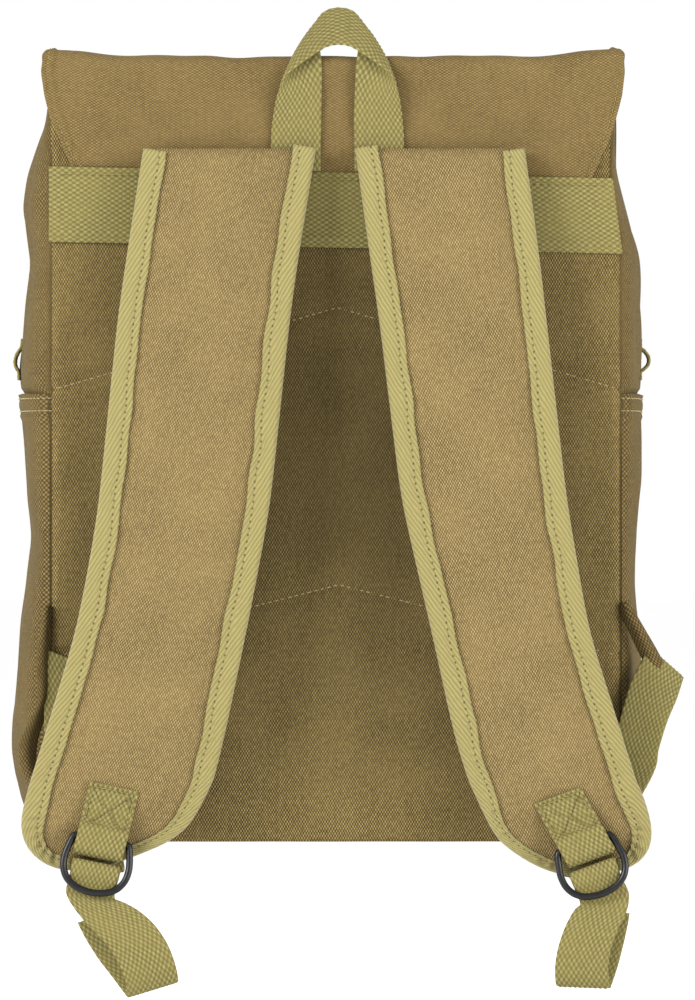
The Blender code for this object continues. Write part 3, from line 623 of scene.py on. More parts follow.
def webbing_strip(name, points, across, material, wall=WEBBING_WALL, rise=YARN_RISE, bow=0.0, crown=0.0,
                  press=None, step=0.00065):
    """Webbing along points: across is half its width, bow and crown curve it across, and press dents it."""
    bows = np.broadcast_to(np.asarray(bow, dtype=float), (len(points),))
    crowns = np.broadcast_to(np.asarray(crown, dtype=float), (len(points), 3))
    centre, carried, along = even_run(np.asarray(points), np.column_stack([across, bows, crowns]), step)
    half = carried[:, :3]
    flow = np.gradient(centre, axis=0)
    lift = np.cross(flow, half)
    lift /= np.linalg.norm(lift, axis=1, keepdims=True)
    width = 2 * np.linalg.norm(half, axis=1).max()
    columns = int(round(width / (WARP_PITCH / 3))) + 1
    share = np.linspace(-1, 1, columns)
    u = (share + 1) * width / 2
    body = wall / 2 * np.sqrt(np.maximum(1 - np.abs(share) ** 14, 0.0)) * 0.8 + wall * 0.05
    grid_u, grid_v = np.meshgrid(u, along)
    yarn = rise * weave(grid_u, grid_v)
    curve = carried[:, 3:4] * (1 - share ** 2)[None, :]
    if press:
        curve = curve - press(grid_u, grid_v)
    middle = centre[:, None, :] + half[:, None, :] * share[None, :, None]
    middle = middle + lift[:, None, :] * curve[:, :, None]
    middle = middle + carried[:, None, 4:] * (1 - share ** 2)[None, :, None]
    outward = np.cross(np.gradient(middle, axis=0), np.gradient(middle, axis=1))
    outward /= np.linalg.norm(outward, axis=2, keepdims=True)
    upper = middle + outward * (body + yarn)[:, :, None]
    lower = middle - outward * (body + rise * weave(grid_u + WARP_PITCH, grid_v))[:, :, None]
    loop = np.concatenate([upper, lower[:, ::-1]], axis=1)
    flat_u = np.concatenate([grid_u, grid_u[:, ::-1] + WARP_PITCH], axis=1)
    flat_v = np.concatenate([grid_v, grid_v], axis=1)
    uvs = np.stack([flat_u.ravel(), flat_v.ravel()], axis=1)
    piece = shape_mesh(name, loop.reshape(-1, 3), sleeve_quads(columns, len(along)), uvs)
    piece.data.materials.append(material)
    return piece, width, along[-1]


def webbing_finish(name, proud, sunk, worn):
    """Dyed cotton webbing: raised yarn tops painted pale, a painted highlight, over an olive ground, matt,
    with loose fibre.
    """
    material, tree, shader = new_material(name)
    cloth = put(tree, "ShaderNodeUVMap", uv_map="cloth")
    crossing = crossings(tree, cloth, (WARP_PITCH, WEFT_PITCH))
    top = put(tree, "ShaderNodeMapRange", {0: crossing, 1: -0.45, 2: 0.8})
    patches = put(tree, "ShaderNodeTexNoise",
                  {"Vector": cloth, "Scale": 45.0, "Detail": 5.0, "Roughness": 0.6})
    patches = put(tree, "ShaderNodeMapRange", {0: patches, 1: 0.4, 2: 0.68, 3: 0.0, 4: 0.35})
    fibre = put(tree, "ShaderNodeTexNoise", {"Vector": cloth, "Scale": 1500.0, "Detail": 3.0})
    yarns = put(tree, "ShaderNodeTexNoise", {"Vector": cloth, "Scale": 420.0, "Detail": 1.0})
    yarns = put(tree, "ShaderNodeMapRange", {0: yarns, 1: 0.3, 2: 0.7, 3: 0.55, 4: 1.0})
    # The raised yarn tops are painted paler than the sunk ground: painted highlight
    lit = put(tree, "ShaderNodeMath", {0: top, 1: yarns}, operation="MULTIPLY")
    tone = put(tree, "ShaderNodeMix", {0: lit, 6: linear(sunk), 7: linear(proud)}, data_type="RGBA")
    tone = put(tree, "ShaderNodeMix", {0: patches, 6: tone, 7: linear(worn)}, data_type="RGBA")
    finish_cloth(tree, shader, tone, fibre, 0.00012, 0.5, 0.9, 0.2)
    return material


webbing = webbing_finish("cotton_webbing_olive", "#857e4f", "#574f2a", "#726739")

# Pocket loops
# A small drop of narrow tape stands out above each side pocket, sewn down by its two ends.
LOOP_TAPE = 0.012
LOOP_WALL = 0.0017
LOOP_RISE = 0.0002
LOOP_BELOW_HANG = 0.1575
LOOP_OUT = {"left": 0.45, "right": 0.85}
LOOP_TURNS = [(0.0, 10.5), (0.0, 6.0), (1.8, 4.6), (4.2, 2.0), (4.9, -0.6), (4.0, -3.2), (1.6, -5.2),
              (0.0, -6.6), (0.0, -10.5)]

for sign, side in SIDES:
    points = []
    for out, up in LOOP_TURNS:
        y = np.array([BODY_DEPTH / 2])
        z = np.array([up / 1000 - LOOP_BELOW_HANG])
        lift = edge_x(sign, z) + 0.0010 + side_swell(sign, y, z) - pocket_space(y, z)
        points.append((sign * (lift[0] + out * LOOP_OUT[side] / 1000), BODY_DEPTH / 2, z[0]))
    points = through(points, 6)
    across = np.tile((0.0, LOOP_TAPE / 2, 0.0), (len(points), 1))
    loop, width, length = webbing_strip("pocket_loop_tape_" + side, points, across, webbing, LOOP_WALL,
                                        LOOP_RISE)
    hand_over(loop, "cotton_webbing", "pocket_loop_" + side)

# Flap
# One canvas piece sewn under the cross band, drawn up over the mouth and down the front. Its edges
# are hemmed and stitched, and its upper corners stand up a little like ears.
FLAP_WALL = 0.0025
FLAP_EASE = 0.001
FLAP_TURN = 0.006
FLAP_LEVEL = -0.0060
FLAP_FOOT = -0.225
FLAP_CORNER = 0.045
FLAP_HEM = 0.0065
HEM_STITCH = 0.0028
FLAP_HALF = 0.1445
FLAP_COLUMNS = 121
FINE_STITCH = (0.0022, 0.003, 0.00026)
FLAP_SIDES = [(2, 144.6, 141.6), (-3, 145.4, 142.8), (-8, 146.8, 144.0), (-18, 148.0, 144.8),
              (-30, 146.2, 143.4), (-40, 143.6, 140.8), (-48, 140.2, 138.3), (-61, 133.5, 131.4),
              (-70, 128.5, 127.0)]


def band_top(x):
    """Top edge of the cross band, which falls a little to the right."""
    return -0.0615 - 0.006 * (x / (2 * HALF_WIDTH) + 0.5)


flap_shoulder = FLAP_LEVEL - FLAP_TURN
flap_start = -0.0700
turn_length = FLAP_TURN * math.pi / 2
back_length = flap_shoulder - flap_start
top_length = BODY_DEPTH + FLAP_EASE + GAP - 2 * FLAP_TURN
front_length = flap_shoulder - FLAP_FOOT
flap_length = back_length + 2 * turn_length + top_length + front_length


def place_flap(share, v):
    """Place on the flap by the share of its width, -1 to 1, and the length from its sewn edge.

    The height of the hem and the distance to the nearest edge come with it.
    """
    on_back = v < back_length
    first_turn = np.clip((v - back_length) / turn_length, 0, 1) * math.pi / 2
    on_top = np.clip(v - back_length - turn_length, 0, top_length)
    second_turn = np.clip((v - back_length - turn_length - top_length) / turn_length, 0, 1) * math.pi / 2
    fall = np.clip(v - back_length - 2 * turn_length - top_length, 0, front_length)
    table = np.array(FLAP_SIDES) / 1000
    height = np.where(on_back, flap_start + v, flap_shoulder + FLAP_TURN * np.sin(first_turn))
    half = np.where(share < 0, np.interp(height, table[::-1, 0], table[::-1, 1]),
                    np.interp(height, table[::-1, 0], table[::-1, 2]))
    forward = on_top / top_length
    half = half + (FLAP_HALF - half) * smooth(forward / 0.4)
    into_corner = np.clip(1 - (front_length - fall) / FLAP_CORNER, 0.0, 1.0)
    half = half - FLAP_CORNER * (1 - np.sqrt(np.maximum(1 - into_corner ** 2, 0.0))) * 0.9
    x = share * half
    ear = 0.0036 * smooth((np.abs(x) - 0.100) / 0.040) * smooth((height - flap_start) / 0.03)
    ear = ear * (1 - forward) ** 2
    sag = -0.0012 * np.sin(math.pi * np.clip(forward, 0, 1)) - 0.0006 * np.cos(x / 0.030) * (1 - forward)
    bulk = 0.0011 * smooth((height + 0.062) / 0.015) * (1 + ripple(x, v, 0.07, 31))
    bulk = bulk * smooth((x + 0.16) / 0.05)
    z = height + ear + np.where(on_top > 0, sag, 0.0) - FLAP_TURN * (1 - np.cos(second_turn)) - fall
    y = np.where(on_back, back_y(x, flap_start + v) - GAP - FLAP_WALL - bulk,
                 FLAP_TURN * (1 - np.cos(first_turn)) - GAP - FLAP_WALL - bulk * np.cos(first_turn))
    y = y + np.where(on_back, (FLAP_WALL + GAP + bulk) * smooth((band_top(x) + 0.0025 - z) / 0.003), 0.0)
    y = y + on_top + np.where(on_top > 0, FLAP_WALL * forward * 2, 0.0) + FLAP_TURN * np.sin(second_turn)
    bow = front_y(x, np.minimum(z, TOP)) - BODY_DEPTH
    y = y + np.where(second_turn > 0, bow * smooth(fall / 0.02) + 0.0012, 0.0)
    rim = half - np.abs(x)
    foot = np.where(fall > 0, front_length - fall, 1.0)
    near = np.minimum(rim, foot)
    hem = 0.0010 * smooth((FLAP_HEM - near) / 0.0014) - 0.0008 * np.exp(-((near - HEM_STITCH) / 0.0009) ** 2)
    corner = np.clip(1 - rim / 0.0035, 0.0, 1.0)
    z = z - 0.0022 * corner ** 2 * smooth((height + 0.016) / 0.01) * (1 - forward)
    return x, y, z, hem, near


def lay_flap(step=0.0024):
    """The flap's grid, with the hem raised along its outward direction."""
    across = FLAP_COLUMNS
    along = int(round(flap_length / step)) + 1
    crowded = np.sin(np.linspace(-1, 1, across) * math.pi * 0.47) / math.sin(math.pi * 0.47)
    share, v = np.meshgrid(crowded, np.linspace(0, flap_length, along))
    x, y, z, hem, _ = place_flap(share.ravel(), v.ravel())
    points = np.stack([x, y, z], axis=1).reshape(along, across, 3)
    outward = np.cross(np.gradient(points, axis=1), np.gradient(points, axis=0))
    outward /= np.linalg.norm(outward, axis=2, keepdims=True)
    uneven = 0.0005 * ripple(x, v.ravel(), 0.045, 33) + 0.0003 * ripple(x, v.ravel(), 0.02, 34)
    points = points.reshape(-1, 3) + outward.reshape(-1, 3) * (hem + uneven)[:, None]
    uvs = np.stack([x, v.ravel()], axis=1)
    piece = shape_mesh("flap_canvas", points, grid_quads(across, along), uvs)
    give_wall(piece, FLAP_WALL - 0.0002, flap_canvas)
    return piece


flap = lay_flap()
hand_over(flap, "canvas", "flap")


def flap_hem_line(sign):
    """The stitch line along one side of the flap, and round its corner at the front."""
    v = np.linspace(0.002, flap_length - HEM_STITCH, 300)
    share = np.full_like(v, sign * 0.98)
    for _ in range(4):
        x, y, z, _, _ = place_flap(share, v)
        half = np.abs(x / share)
        share = sign * (half - HEM_STITCH - 0.0001) / half
    points = np.stack([x, y, z], axis=1)
    inner = np.stack(place_flap(share * 0.99, v)[:3], axis=1)
    outward = np.cross((points - inner) * sign, np.gradient(points, axis=0))
    outward /= np.linalg.norm(outward, axis=1, keepdims=True)
    return points + outward * 0.0002, outward


foot_share = np.linspace(-0.965, 0.965, 120)
x, y, z, _, _ = place_flap(foot_share, np.full_like(foot_share, flap_length - HEM_STITCH))
foot_line = np.stack([x, y + 0.0003, z], axis=1), np.tile((0.0, 1.0, 0.0), (len(x), 1))
flap_lines = [flap_hem_line(-1), flap_hem_line(1), foot_line]
flap_thread = sew("flap_hem_thread", flap_lines, olive_thread, *FINE_STITCH)
hand_over(flap_thread, "binding_tape")

# Stud
# One plain dome-headed stud closes the flap: turned brass with a dull black finish.
stud_metal, tree, shader, grain = speckled("blackened_brass", "#1c1a17", "#3d352a", 500.0, 4.0)
rough = put(tree, "ShaderNodeMapRange", {0: grain, 1: 0.3, 2: 0.7, 3: 0.3, 4: 0.5})
tree.links.new(rough, shader.inputs["Roughness"])
shader.inputs["Metallic"].default_value = 0.9
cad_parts["flap_stud"].data.materials.clear()
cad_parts["flap_stud"].data.materials.append(stud_metal)

# Cross band
# A wide band of the same webbing is sewn flat across the back panel, over the flap's raw edge, and
# takes the handle and both straps. Its top edge is stitched down and stands a little proud.
BAND_HEIGHT = 0.038


def place_band(u, v):
    """Place on the band, which follows the back panel under it."""
    x = u - HALF_WIDTH
    z = band_top(x) - BAND_HEIGHT + v
    return drawn_in(x, z) * 1.002, back_y(x, z), z


def band_rows(u, v):
    """The stitch line that pulls the band down under its top edge."""
    return 0.0006 * np.exp(-((u - BAND_HEIGHT + 0.0042) / 0.0011) ** 2)


run = np.linspace(0, 2 * HALF_WIDTH, 200)
low = np.stack(place_band(run, np.zeros_like(run)), axis=1)
high = np.stack(place_band(run, np.full_like(run, BAND_HEIGHT)), axis=1)
middle = (low + high) / 2
middle[:, 1] -= WEBBING_WALL / 2 + 2 * GAP
band, width, length = webbing_strip("cross_band_webbing", middle, (low - high) / 2, webbing, bow=0.0010,
                                    press=band_rows)
hand_over(band, "cotton_webbing", "yoke_band")
run = np.linspace(0.004, 2 * HALF_WIDTH - 0.004, 200)
x, y, z = place_band(run, np.full_like(run, BAND_HEIGHT - 0.0036))
band_line = np.stack([x, y - 0.0026, z], axis=1), np.tile((0.0, -1.0, 0.0), (len(x), 1))
band_thread = sew("cross_band_thread", [band_line], olive_thread, 0.0026, 0.0036)
hand_over(band_thread, "binding_tape")

# Grab handle
# A length of webbing sewn under the band by two flat feet. It twists a quarter turn on its way up,
# so the arch shows its other face.
# The left leg from its sewn end to the apex, in millimetres: near edge, middle of the web, far edge
HANDLE_LEG = [
    (-33.5, -6.2, -64.0, -21.0, -6.2, -64.0, -8.5, -6.2, -64.0),
    (-33.4, -6.4, -50.0, -20.9, -6.4, -50.0, -8.4, -6.2, -50.0),
    (-33.0, -6.9, -42.0, -20.6, -6.9, -42.0, -8.2, -6.3, -42.0),
    (-32.0, -8.0, -34.0, -20.4, -7.8, -33.0, -8.2, -6.6, -32.0),
    (-30.4, -9.6, -25.5, -20.4, -8.6, -23.5, -8.3, -6.6, -21.0),
    (-26.8, -11.8, -17.5, -22.4, -6.6, -12.8, -8.6, -5.4, -10.5),
    (-20.5, -11.0, -11.5, -21.4, -1.4, -4.6, -9.6, -0.8, -2.0),
    (-13.0, -8.0, -6.2, -16.6, 2.0, 3.0, -10.4, 9.0, 9.0),
    (-6.2, -4.8, -1.8, -9.0, 4.6, 7.6, -7.4, 12.6, 16.6),
    (0.0, -2.6, -0.6, 0.0, 5.0, 9.9, 0.0, 14.4, 18.8)]
ARCH_SHIFT = 0.0015


def both_legs(columns):
    """One line of the handle, up its left leg and down its right."""
    leg = np.array(HANDLE_LEG)[:, columns] / 1000
    line = through(np.concatenate([leg, leg[::-1][1:] * (-1.0, 1.0, 1.0)]), 10)
    line[:, 0] += ARCH_SHIFT * (0.5 + 0.5 * smooth((line[:, 2] + 0.045) / 0.04))
    return line


near_edge = both_legs(slice(0, 3))
far_edge = both_legs(slice(6, 9))
handle_path = (near_edge + far_edge) / 2
handle, width, length = webbing_strip("grab_handle_webbing", handle_path, (near_edge - far_edge) / 2, webbing,
                                      crown=both_legs(slice(3, 6)) - handle_path)
hand_over(handle, "cotton_webbing", "grab_handle")

# Shoulder straps
# Each strap is a canvas sleeve over a foam pad. It lies flat on the band at the top, stands off the
# back as it falls, and ends in a rounded foot over the lower corner of the bag.
STRAP_TOP = -0.053
STRAP_LENGTH = 0.362
PAD_HALF = 0.0046
PAD_EDGE_HALF = 0.0024
STANDOFF = 0.021
BINDING_WIDTH = 0.0115
CORNER_BELOW = -0.366
STAND_DOWN = [0.0, 0.1, 0.236, 0.486, 0.666, 0.818, 0.873, 1.0]
STAND_OUT = [0.0, 0.30, 0.64, 1.00, 1.00, 0.90, 0.86, 0.85]
LEFT_OUTER = [(-96.5, -53), (-104.9, -109), (-109, -138.5), (-118, -229), (-121.5, -252.5), (-129.5, -294),
              (-146, -349), (-152.5, -369), (-157, -386), (-157.4, -393), (-155.5, -400.5), (-151.5, -406),
              (-146, -410.5), (-138, -413.5), (-129, -414.0)]
LEFT_INNER = [(-10, -53), (-19, -109), (-23, -138.5), (-32.5, -229), (-36.5, -252.5), (-44.5, -294),
              (-56, -349), (-61, -369), (-69.5, -385.5), (-74.5, -393), (-85, -400.5), (-98, -405.8),
              (-110, -410.5), (-120, -413.5), (-129, -414.0)]
RIGHT_INNER = [(9.5, -53), (17, -108), (21.5, -138.5), (32.5, -229), (47.5, -294), (59.5, -349),
               (66, -369), (69.5, -376.5), (76, -390.5), (81, -399), (89.5, -405.5), (98.5, -411),
               (108, -415), (121, -417)]
RIGHT_OUTER = [(94.5, -53), (101.75, -108), (105, -138.5), (115, -229), (126, -294), (143.5, -349),
               (149.5, -369), (153.5, -376.5), (157.5, -390.5), (157.75, -399), (155.5, -405.5),
               (150, -411), (139, -415.3), (121, -417)]
STRAP_EDGES = {"left": (LEFT_OUTER, LEFT_INNER), "right": (RIGHT_OUTER, RIGHT_INNER)}


def curve_value(keys, values, at):
    """A value on a smooth curve through a table's rows."""
    keys = np.array(keys)
    values = np.array(values)
    slopes = np.gradient(values, keys)
    at = np.clip(at, keys[0], keys[-1])
    i = np.clip(np.searchsorted(keys, at, side="right") - 1, 0, len(keys) - 2)
    span = keys[i + 1] - keys[i]
    t = (at - keys[i]) / span
    start = values[i] * (1 + 2 * t) * (1 - t) ** 2 + slopes[i] * span * t * (1 - t) ** 2
    return start + values[i + 1] * t * t * (3 - 2 * t) - slopes[i + 1] * span * t * t * (1 - t)


def strap_middle(z):
    """Middle of a strap's thickness at a height."""
    down = np.clip((STRAP_TOP - z) / STRAP_LENGTH, 0.0, 1.0)
    return -0.0109 - STANDOFF * curve_value(STAND_DOWN, STAND_OUT, down)


def outline_run(table, step=0.0015):
    """An even, smooth run of points by a strap's measured edge, in the plane of the back."""
    knots = np.array([(x, 0.0, z) for x, z in table]) / 1000
    run = even_run(knots, knots, step)[0][:, (0, 2)]
    for k in range(110):
        eased = (run[:-2] + 2 * run[1:-1] + run[2:]) / 4
        held = (run[1:-1, 1:] < CORNER_BELOW) & (k > 15)
        run[1:-1] = np.where(held, run[1:-1], eased)
    return run


def distance_to(outline, x, z):
    """Shortest way from points to a run of straight stretches."""
    best = np.full_like(x, 9.0)
    for (ax, az), (bx, bz) in zip(outline[:-1:2], outline[2::2]):
        way = np.array([bx - ax, bz - az])
        share = np.clip(((x - ax) * way[0] + (z - az) * way[1]) / (way @ way), 0, 1)
        best = np.minimum(best, np.hypot(x - ax - share * way[0], z - az - share * way[1]))
    return best


def strap_pad(name, outer_edge, inner_edge, seed):
    """The canvas sleeve over its pad, closed all round, full in the middle and thin at its edge."""
    low = min(outer_edge[-1][1], inner_edge[-1][1])
    drop = (1 - np.cos(np.linspace(0, 1, 40) * math.pi / 2)) * 0.03
    levels = np.concatenate([np.linspace(STRAP_TOP, low + 0.030, 140), (low + 0.0301 - drop[::-1])[::-1][1:]])
    levels = np.sort(np.unique(np.clip(levels, low + 0.0004, STRAP_TOP)))[::-1]
    outer_x = np.interp(-levels, -outer_edge[:, 1], outer_edge[:, 0])
    inner_x = np.interp(-levels, -inner_edge[:, 1], inner_edge[:, 0])
    columns = 45
    share = 0.5 - 0.5 * np.cos(np.linspace(0.07, 0.93, columns) * math.pi) / math.cos(0.07 * math.pi)
    inset = 0.0012
    x = outer_x[:, None] + (inner_x - outer_x)[:, None] * share[None, :]
    side = np.sign(inner_x - outer_x)[:, None] * inset
    x = x + side * (1 - 2 * share[None, :])
    z = np.repeat(levels[:, None], columns, axis=1)
    outline = np.concatenate([outer_edge, inner_edge[::-1]])
    depth = distance_to(outline, x.ravel(), z.ravel()).reshape(x.shape)
    fullness = smooth((depth - BINDING_WIDTH + 0.0005) / 0.013)
    half = PAD_EDGE_HALF * smooth(depth / 0.002 + 0.25) + (PAD_HALF - PAD_EDGE_HALF) * fullness
    swell = 0.0009 * ripple(x, z, 0.06, seed) * fullness + 0.0004 * ripple(x, z, 0.022, seed + 1) * fullness
    round_top = np.sqrt(np.clip((STRAP_TOP - z) / 0.005 + 0.04, 0.0, 1.0))
    middle = strap_middle(z)
    front = np.stack([x, middle - (half * round_top + swell * round_top), z], axis=2)
    back = np.stack([x, middle + half, z], axis=2)
    loop = np.concatenate([front, back[:, ::-1]], axis=1)
    flat_x = np.concatenate([x, x[:, ::-1]], axis=1).ravel()
    flat_z = np.concatenate([z, z], axis=1).ravel()
    tilt = 0.115 if x.mean() > 0 else -0.19
    uvs = np.stack([flat_x + tilt * flat_z, flat_z - tilt * flat_x], axis=1)
    piece = shape_mesh(name, loop.reshape(-1, 3), sleeve_quads(columns, len(levels)), uvs)
    piece.data.materials.append(strap_canvas)
    turn_outward(piece)
    return piece


# Binding
# A folded twill tape closes each strap's edge all the way round, sewn through all layers a little
# inside its inner edge. Its ribs run at a slant, 1.8 mm apart.
RIBS_ACROSS = 516.0
RIBS_ALONG = 230.0
HOLE_PITCH = 0.0034
HOLE_LINE = 0.0082
TAPE_WALL = 0.0011
FLOAT_PITCH = 0.0011


def binding_finish():
    """Cotton twill tape: slanting ribs, broken into short floats, and dark needle holes."""
    material, tree, shader = new_material("cotton_twill_tape")
    cloth = put(tree, "ShaderNodeUVMap", uv_map="cloth")
    place = put(tree, "ShaderNodeSeparateXYZ", {0: cloth})
    along = place.node.outputs["Y"]
    wobble = put(tree, "ShaderNodeTexNoise", {"Vector": cloth, "Scale": 120.0, "Detail": 2.0})
    ribs = put(tree, "ShaderNodeMath", {0: along, 1: RIBS_ALONG / RIBS_ACROSS, 2: place},
               operation="MULTIPLY_ADD")
    ribs = put(tree, "ShaderNodeMath", {0: wobble, 1: 0.0012, 2: ribs}, operation="MULTIPLY_ADD")
    ribs = put(tree, "ShaderNodeMath", {0: ribs, 1: 2 * math.pi * RIBS_ACROSS}, operation="MULTIPLY")
    ribs = put(tree, "ShaderNodeMath", {0: ribs}, operation="SINE")
    floats = put(tree, "ShaderNodeMath", {0: along, 1: 2 * math.pi / FLOAT_PITCH}, operation="MULTIPLY")
    floats = put(tree, "ShaderNodeMath", {0: floats}, operation="SINE")
    height = put(tree, "ShaderNodeMath", {0: floats, 1: 0.22, 2: ribs}, operation="MULTIPLY_ADD")
    lit = put(tree, "ShaderNodeMapRange", {0: height, 1: -1.0, 2: 0.9})
    patches = put(tree, "ShaderNodeTexNoise",
                  {"Vector": cloth, "Scale": 70.0, "Detail": 5.0, "Roughness": 0.6})
    patches = put(tree, "ShaderNodeMapRange", {0: patches, 1: 0.4, 2: 0.68})
    tone = put(tree, "ShaderNodeMix", {0: lit, 6: linear("#6b6338"), 7: linear("#857c4c")}, data_type="RGBA")
    patch = put(tree, "ShaderNodeMath", {0: patches, 1: 0.4}, operation="MULTIPLY")
    tone = put(tree, "ShaderNodeMix", {0: patch, 6: tone, 7: linear("#7a6e42")}, data_type="RGBA")
    step = put(tree, "ShaderNodeMath", {0: along, 1: HOLE_PITCH / 2}, operation="PINGPONG")
    off = put(tree, "ShaderNodeMath", {0: place, 1: HOLE_LINE}, operation="SUBTRACT")
    off = put(tree, "ShaderNodeMath", {0: off}, operation="ABSOLUTE")
    spot = put(tree, "ShaderNodeCombineXYZ", {0: off, 1: step})
    spot = put(tree, "ShaderNodeVectorMath", {0: spot, 1: (1.0, 0.7, 0.0)}, operation="MULTIPLY")
    spot = put(tree, "ShaderNodeVectorMath", {0: spot}, operation="LENGTH").node.outputs["Value"]
    hole = put(tree, "ShaderNodeMapRange", {0: spot, 1: 0.00025, 2: 0.0006, 3: 0.85, 4: 0.0})
    tone = put(tree, "ShaderNodeMix", {0: hole, 6: tone, 7: linear("#332b12")}, data_type="RGBA")
    height = put(tree, "ShaderNodeMath", {0: hole, 1: -2.5, 2: height}, operation="MULTIPLY_ADD")
    bump = put(tree, "ShaderNodeBump", {"Height": height, "Distance": 0.00016, "Strength": 0.8})
    tree.links.new(tone, shader.inputs["Base Color"])
    tree.links.new(bump, shader.inputs["Normal"])
    shader.inputs["Roughness"].default_value = 0.82
    shader.inputs["Specular IOR Level"].default_value = 0.25
    shader.inputs["Sheen Weight"].default_value = 0.15
    return material


binding_tape = binding_finish()


def strap_binding(name, outer_edge, inner_edge, sign, seed):
    """The tape folded round a strap's edge, from its outer top corner round the foot and up again."""
    outline = np.concatenate([outer_edge, inner_edge[::-1][1:]])
    flow = np.gradient(outline, axis=0)
    for _ in range(3):
        flow[1:-1] = (flow[:-2] + flow[1:-1] + flow[2:]) / 3
    flow /= np.linalg.norm(flow, axis=1, keepdims=True)
    inward = np.stack([-flow[:, 1], flow[:, 0]], axis=1) * -sign
    along = run_lengths(outline)
    leg = np.linspace(BINDING_WIDTH, 0.0022, 12)
    turn = np.linspace(0, math.pi, 9)
    high = PAD_EDGE_HALF + GAP + 0.0012
    depth = np.concatenate([leg, 0.0018 - 0.0018 * np.sin(turn), leg[::-1]])
    lift = np.concatenate([np.full(12, -high), -high * np.cos(turn), np.full(12, high)])
    breadth = np.concatenate([[0], np.cumsum(np.hypot(np.diff(depth), np.diff(lift)))])
    front = lift < 0
    bend = np.abs(np.gradient(np.unwrap(np.arctan2(flow[:, 1], flow[:, 0])), along))
    bend = smooth(bend / 40) * 0.0007
    grid_d, grid_a = np.meshgrid(depth, along)
    grid_l = np.repeat(lift[None, :], len(along), axis=0)
    groove = 0.0006 * np.exp(-((grid_d - HOLE_LINE) / 0.0011) ** 2)
    pucker = 0.00022 * ripple(grid_a, grid_d, 0.006, seed) + 0.0002 * ripple(grid_a, grid_d, 0.02, seed + 1)
    folds = bend[:, None] * np.sin(grid_a * 2 * math.pi / 0.0062 + grid_d * 220) * smooth(grid_d / 0.006)
    swing = 0.0004 * ripple(grid_a, grid_a * 0, 0.03, seed + 2)
    shape = np.where(front[None, :], groove + pucker + folds, -groove)
    inner_part = np.arange(len(outline)) >= len(outer_edge)
    narrow_inside = np.interp(outline[:, 1], (-0.412, -0.400, -0.385, -0.345), (0.45, 0.55, 0.78, 1.0))
    narrow_outside = np.interp(outline[:, 1], (-0.414, -0.405, -0.390), (0.5, 0.8, 1.0))
    narrow = np.where(inner_part, narrow_inside, narrow_outside)
    for _ in range(4):
        narrow[1:-1] = (narrow[:-2] + narrow[1:-1] + narrow[2:]) / 3
    reach = grid_d * narrow[:, None] + swing * (grid_d > 0.006)
    x = outline[:, 0][:, None] + inward[:, 0][:, None] * reach
    z = outline[:, 1][:, None] + inward[:, 1][:, None] * reach
    y = strap_middle(z) + grid_l + shape
    points = np.stack([x, y, z], axis=2).reshape(-1, 3)
    uvs = np.stack([grid_d.ravel(), grid_a.ravel()], axis=1)
    quads = grid_quads(len(depth), len(along))
    if sign > 0:
        quads = quads[:, ::-1]
    piece = shape_mesh(name, points, quads, uvs)
    give_wall(piece, TAPE_WALL, binding_tape)
    return piece, breadth[-1], along[-1]


for sign, side in SIDES:
    outer_edge, inner_edge = (outline_run(table) for table in STRAP_EDGES[side])
    pad = strap_pad("shoulder_strap_canvas_" + side, outer_edge, inner_edge, 41 + sign)
    hand_over(pad, "canvas", "shoulder_strap_" + side)
    binding, width, length = strap_binding("strap_binding_tape_" + side, outer_edge, inner_edge, sign,
                                           51 + sign)
    hand_over(binding, "binding_tape", "strap_binding_" + side)

# Ring tabs
# A short length of webbing on the foot of each strap runs round both ring bars and back under
# itself, sewn down with a crossed box in its upper half.
TAB_SEWN = 0.027
TAB_TURNBACK = 0.015
TAB_LOOP = 0.0088
RING_WIRE = 0.003
RING_PITCH = 0.0033
# For each side: its sign, the rings' tilt, how far down and out they hang, and the tab's tilt
RING_SIDES = {"left": (-1, 12, 0.953, 0.815, 13.5), "right": (1, 20, 0.958, 0.862, 29)}


def bar_level(index):
    """Height of a ring bar above the strap's face: 0 for the back ring, 1 for the front one."""
    return WEBBING_WALL + GAP + RING_WIRE / 2 + index * RING_PITCH


def ring_axes(side):
    """Place of the ring bars, the ways down the rings and across them, and the way down the tab."""
    sign, tilt, down, out, tab_tilt = RING_SIDES[side]
    angle = math.radians(tilt) * sign
    way_down = np.array([math.sin(angle), 0.0, -math.cos(angle)])
    angle_down = math.radians(tab_tilt) * sign
    tab_down = np.array([math.sin(angle_down), 0.0, -math.cos(angle_down)])
    way_across = np.array([math.cos(angle), 0.0, math.sin(angle)])
    z = STRAP_TOP - down * STRAP_LENGTH
    seat = min(strap_middle(np.array([z]))[0], strap_middle(np.array([z + TAB_SEWN]))[0]) - 0.0045 - GAP
    return np.array([sign * out * HALF_WIDTH, seat, z]), way_down, way_across, tab_down


def tab_rows(u, v):
    """The crossed box of stitching that pulls the tab flat, with a dimple at each stitch."""
    a = u - WEBBING_HALF
    d = v - TAB_SEWN / 2
    inside = (np.abs(a) < 0.0112) & (v < TAB_SEWN - 0.003)
    lines = np.minimum(np.abs(np.abs(a) - 0.0102), np.abs(v - 0.0022))
    lines = np.minimum(lines, np.abs(v - TAB_SEWN + 0.0046))
    cross = np.minimum(np.abs(d * 0.0104 - a * 0.0105), np.abs(d * 0.0104 + a * 0.0105)) / 0.0148
    dent = np.exp(-(np.minimum(lines, cross) / 0.0008) ** 2)
    return 0.0011 * dent * inside * (0.55 + 0.45 * np.sin((u + v) * 2 * math.pi / 0.0031))


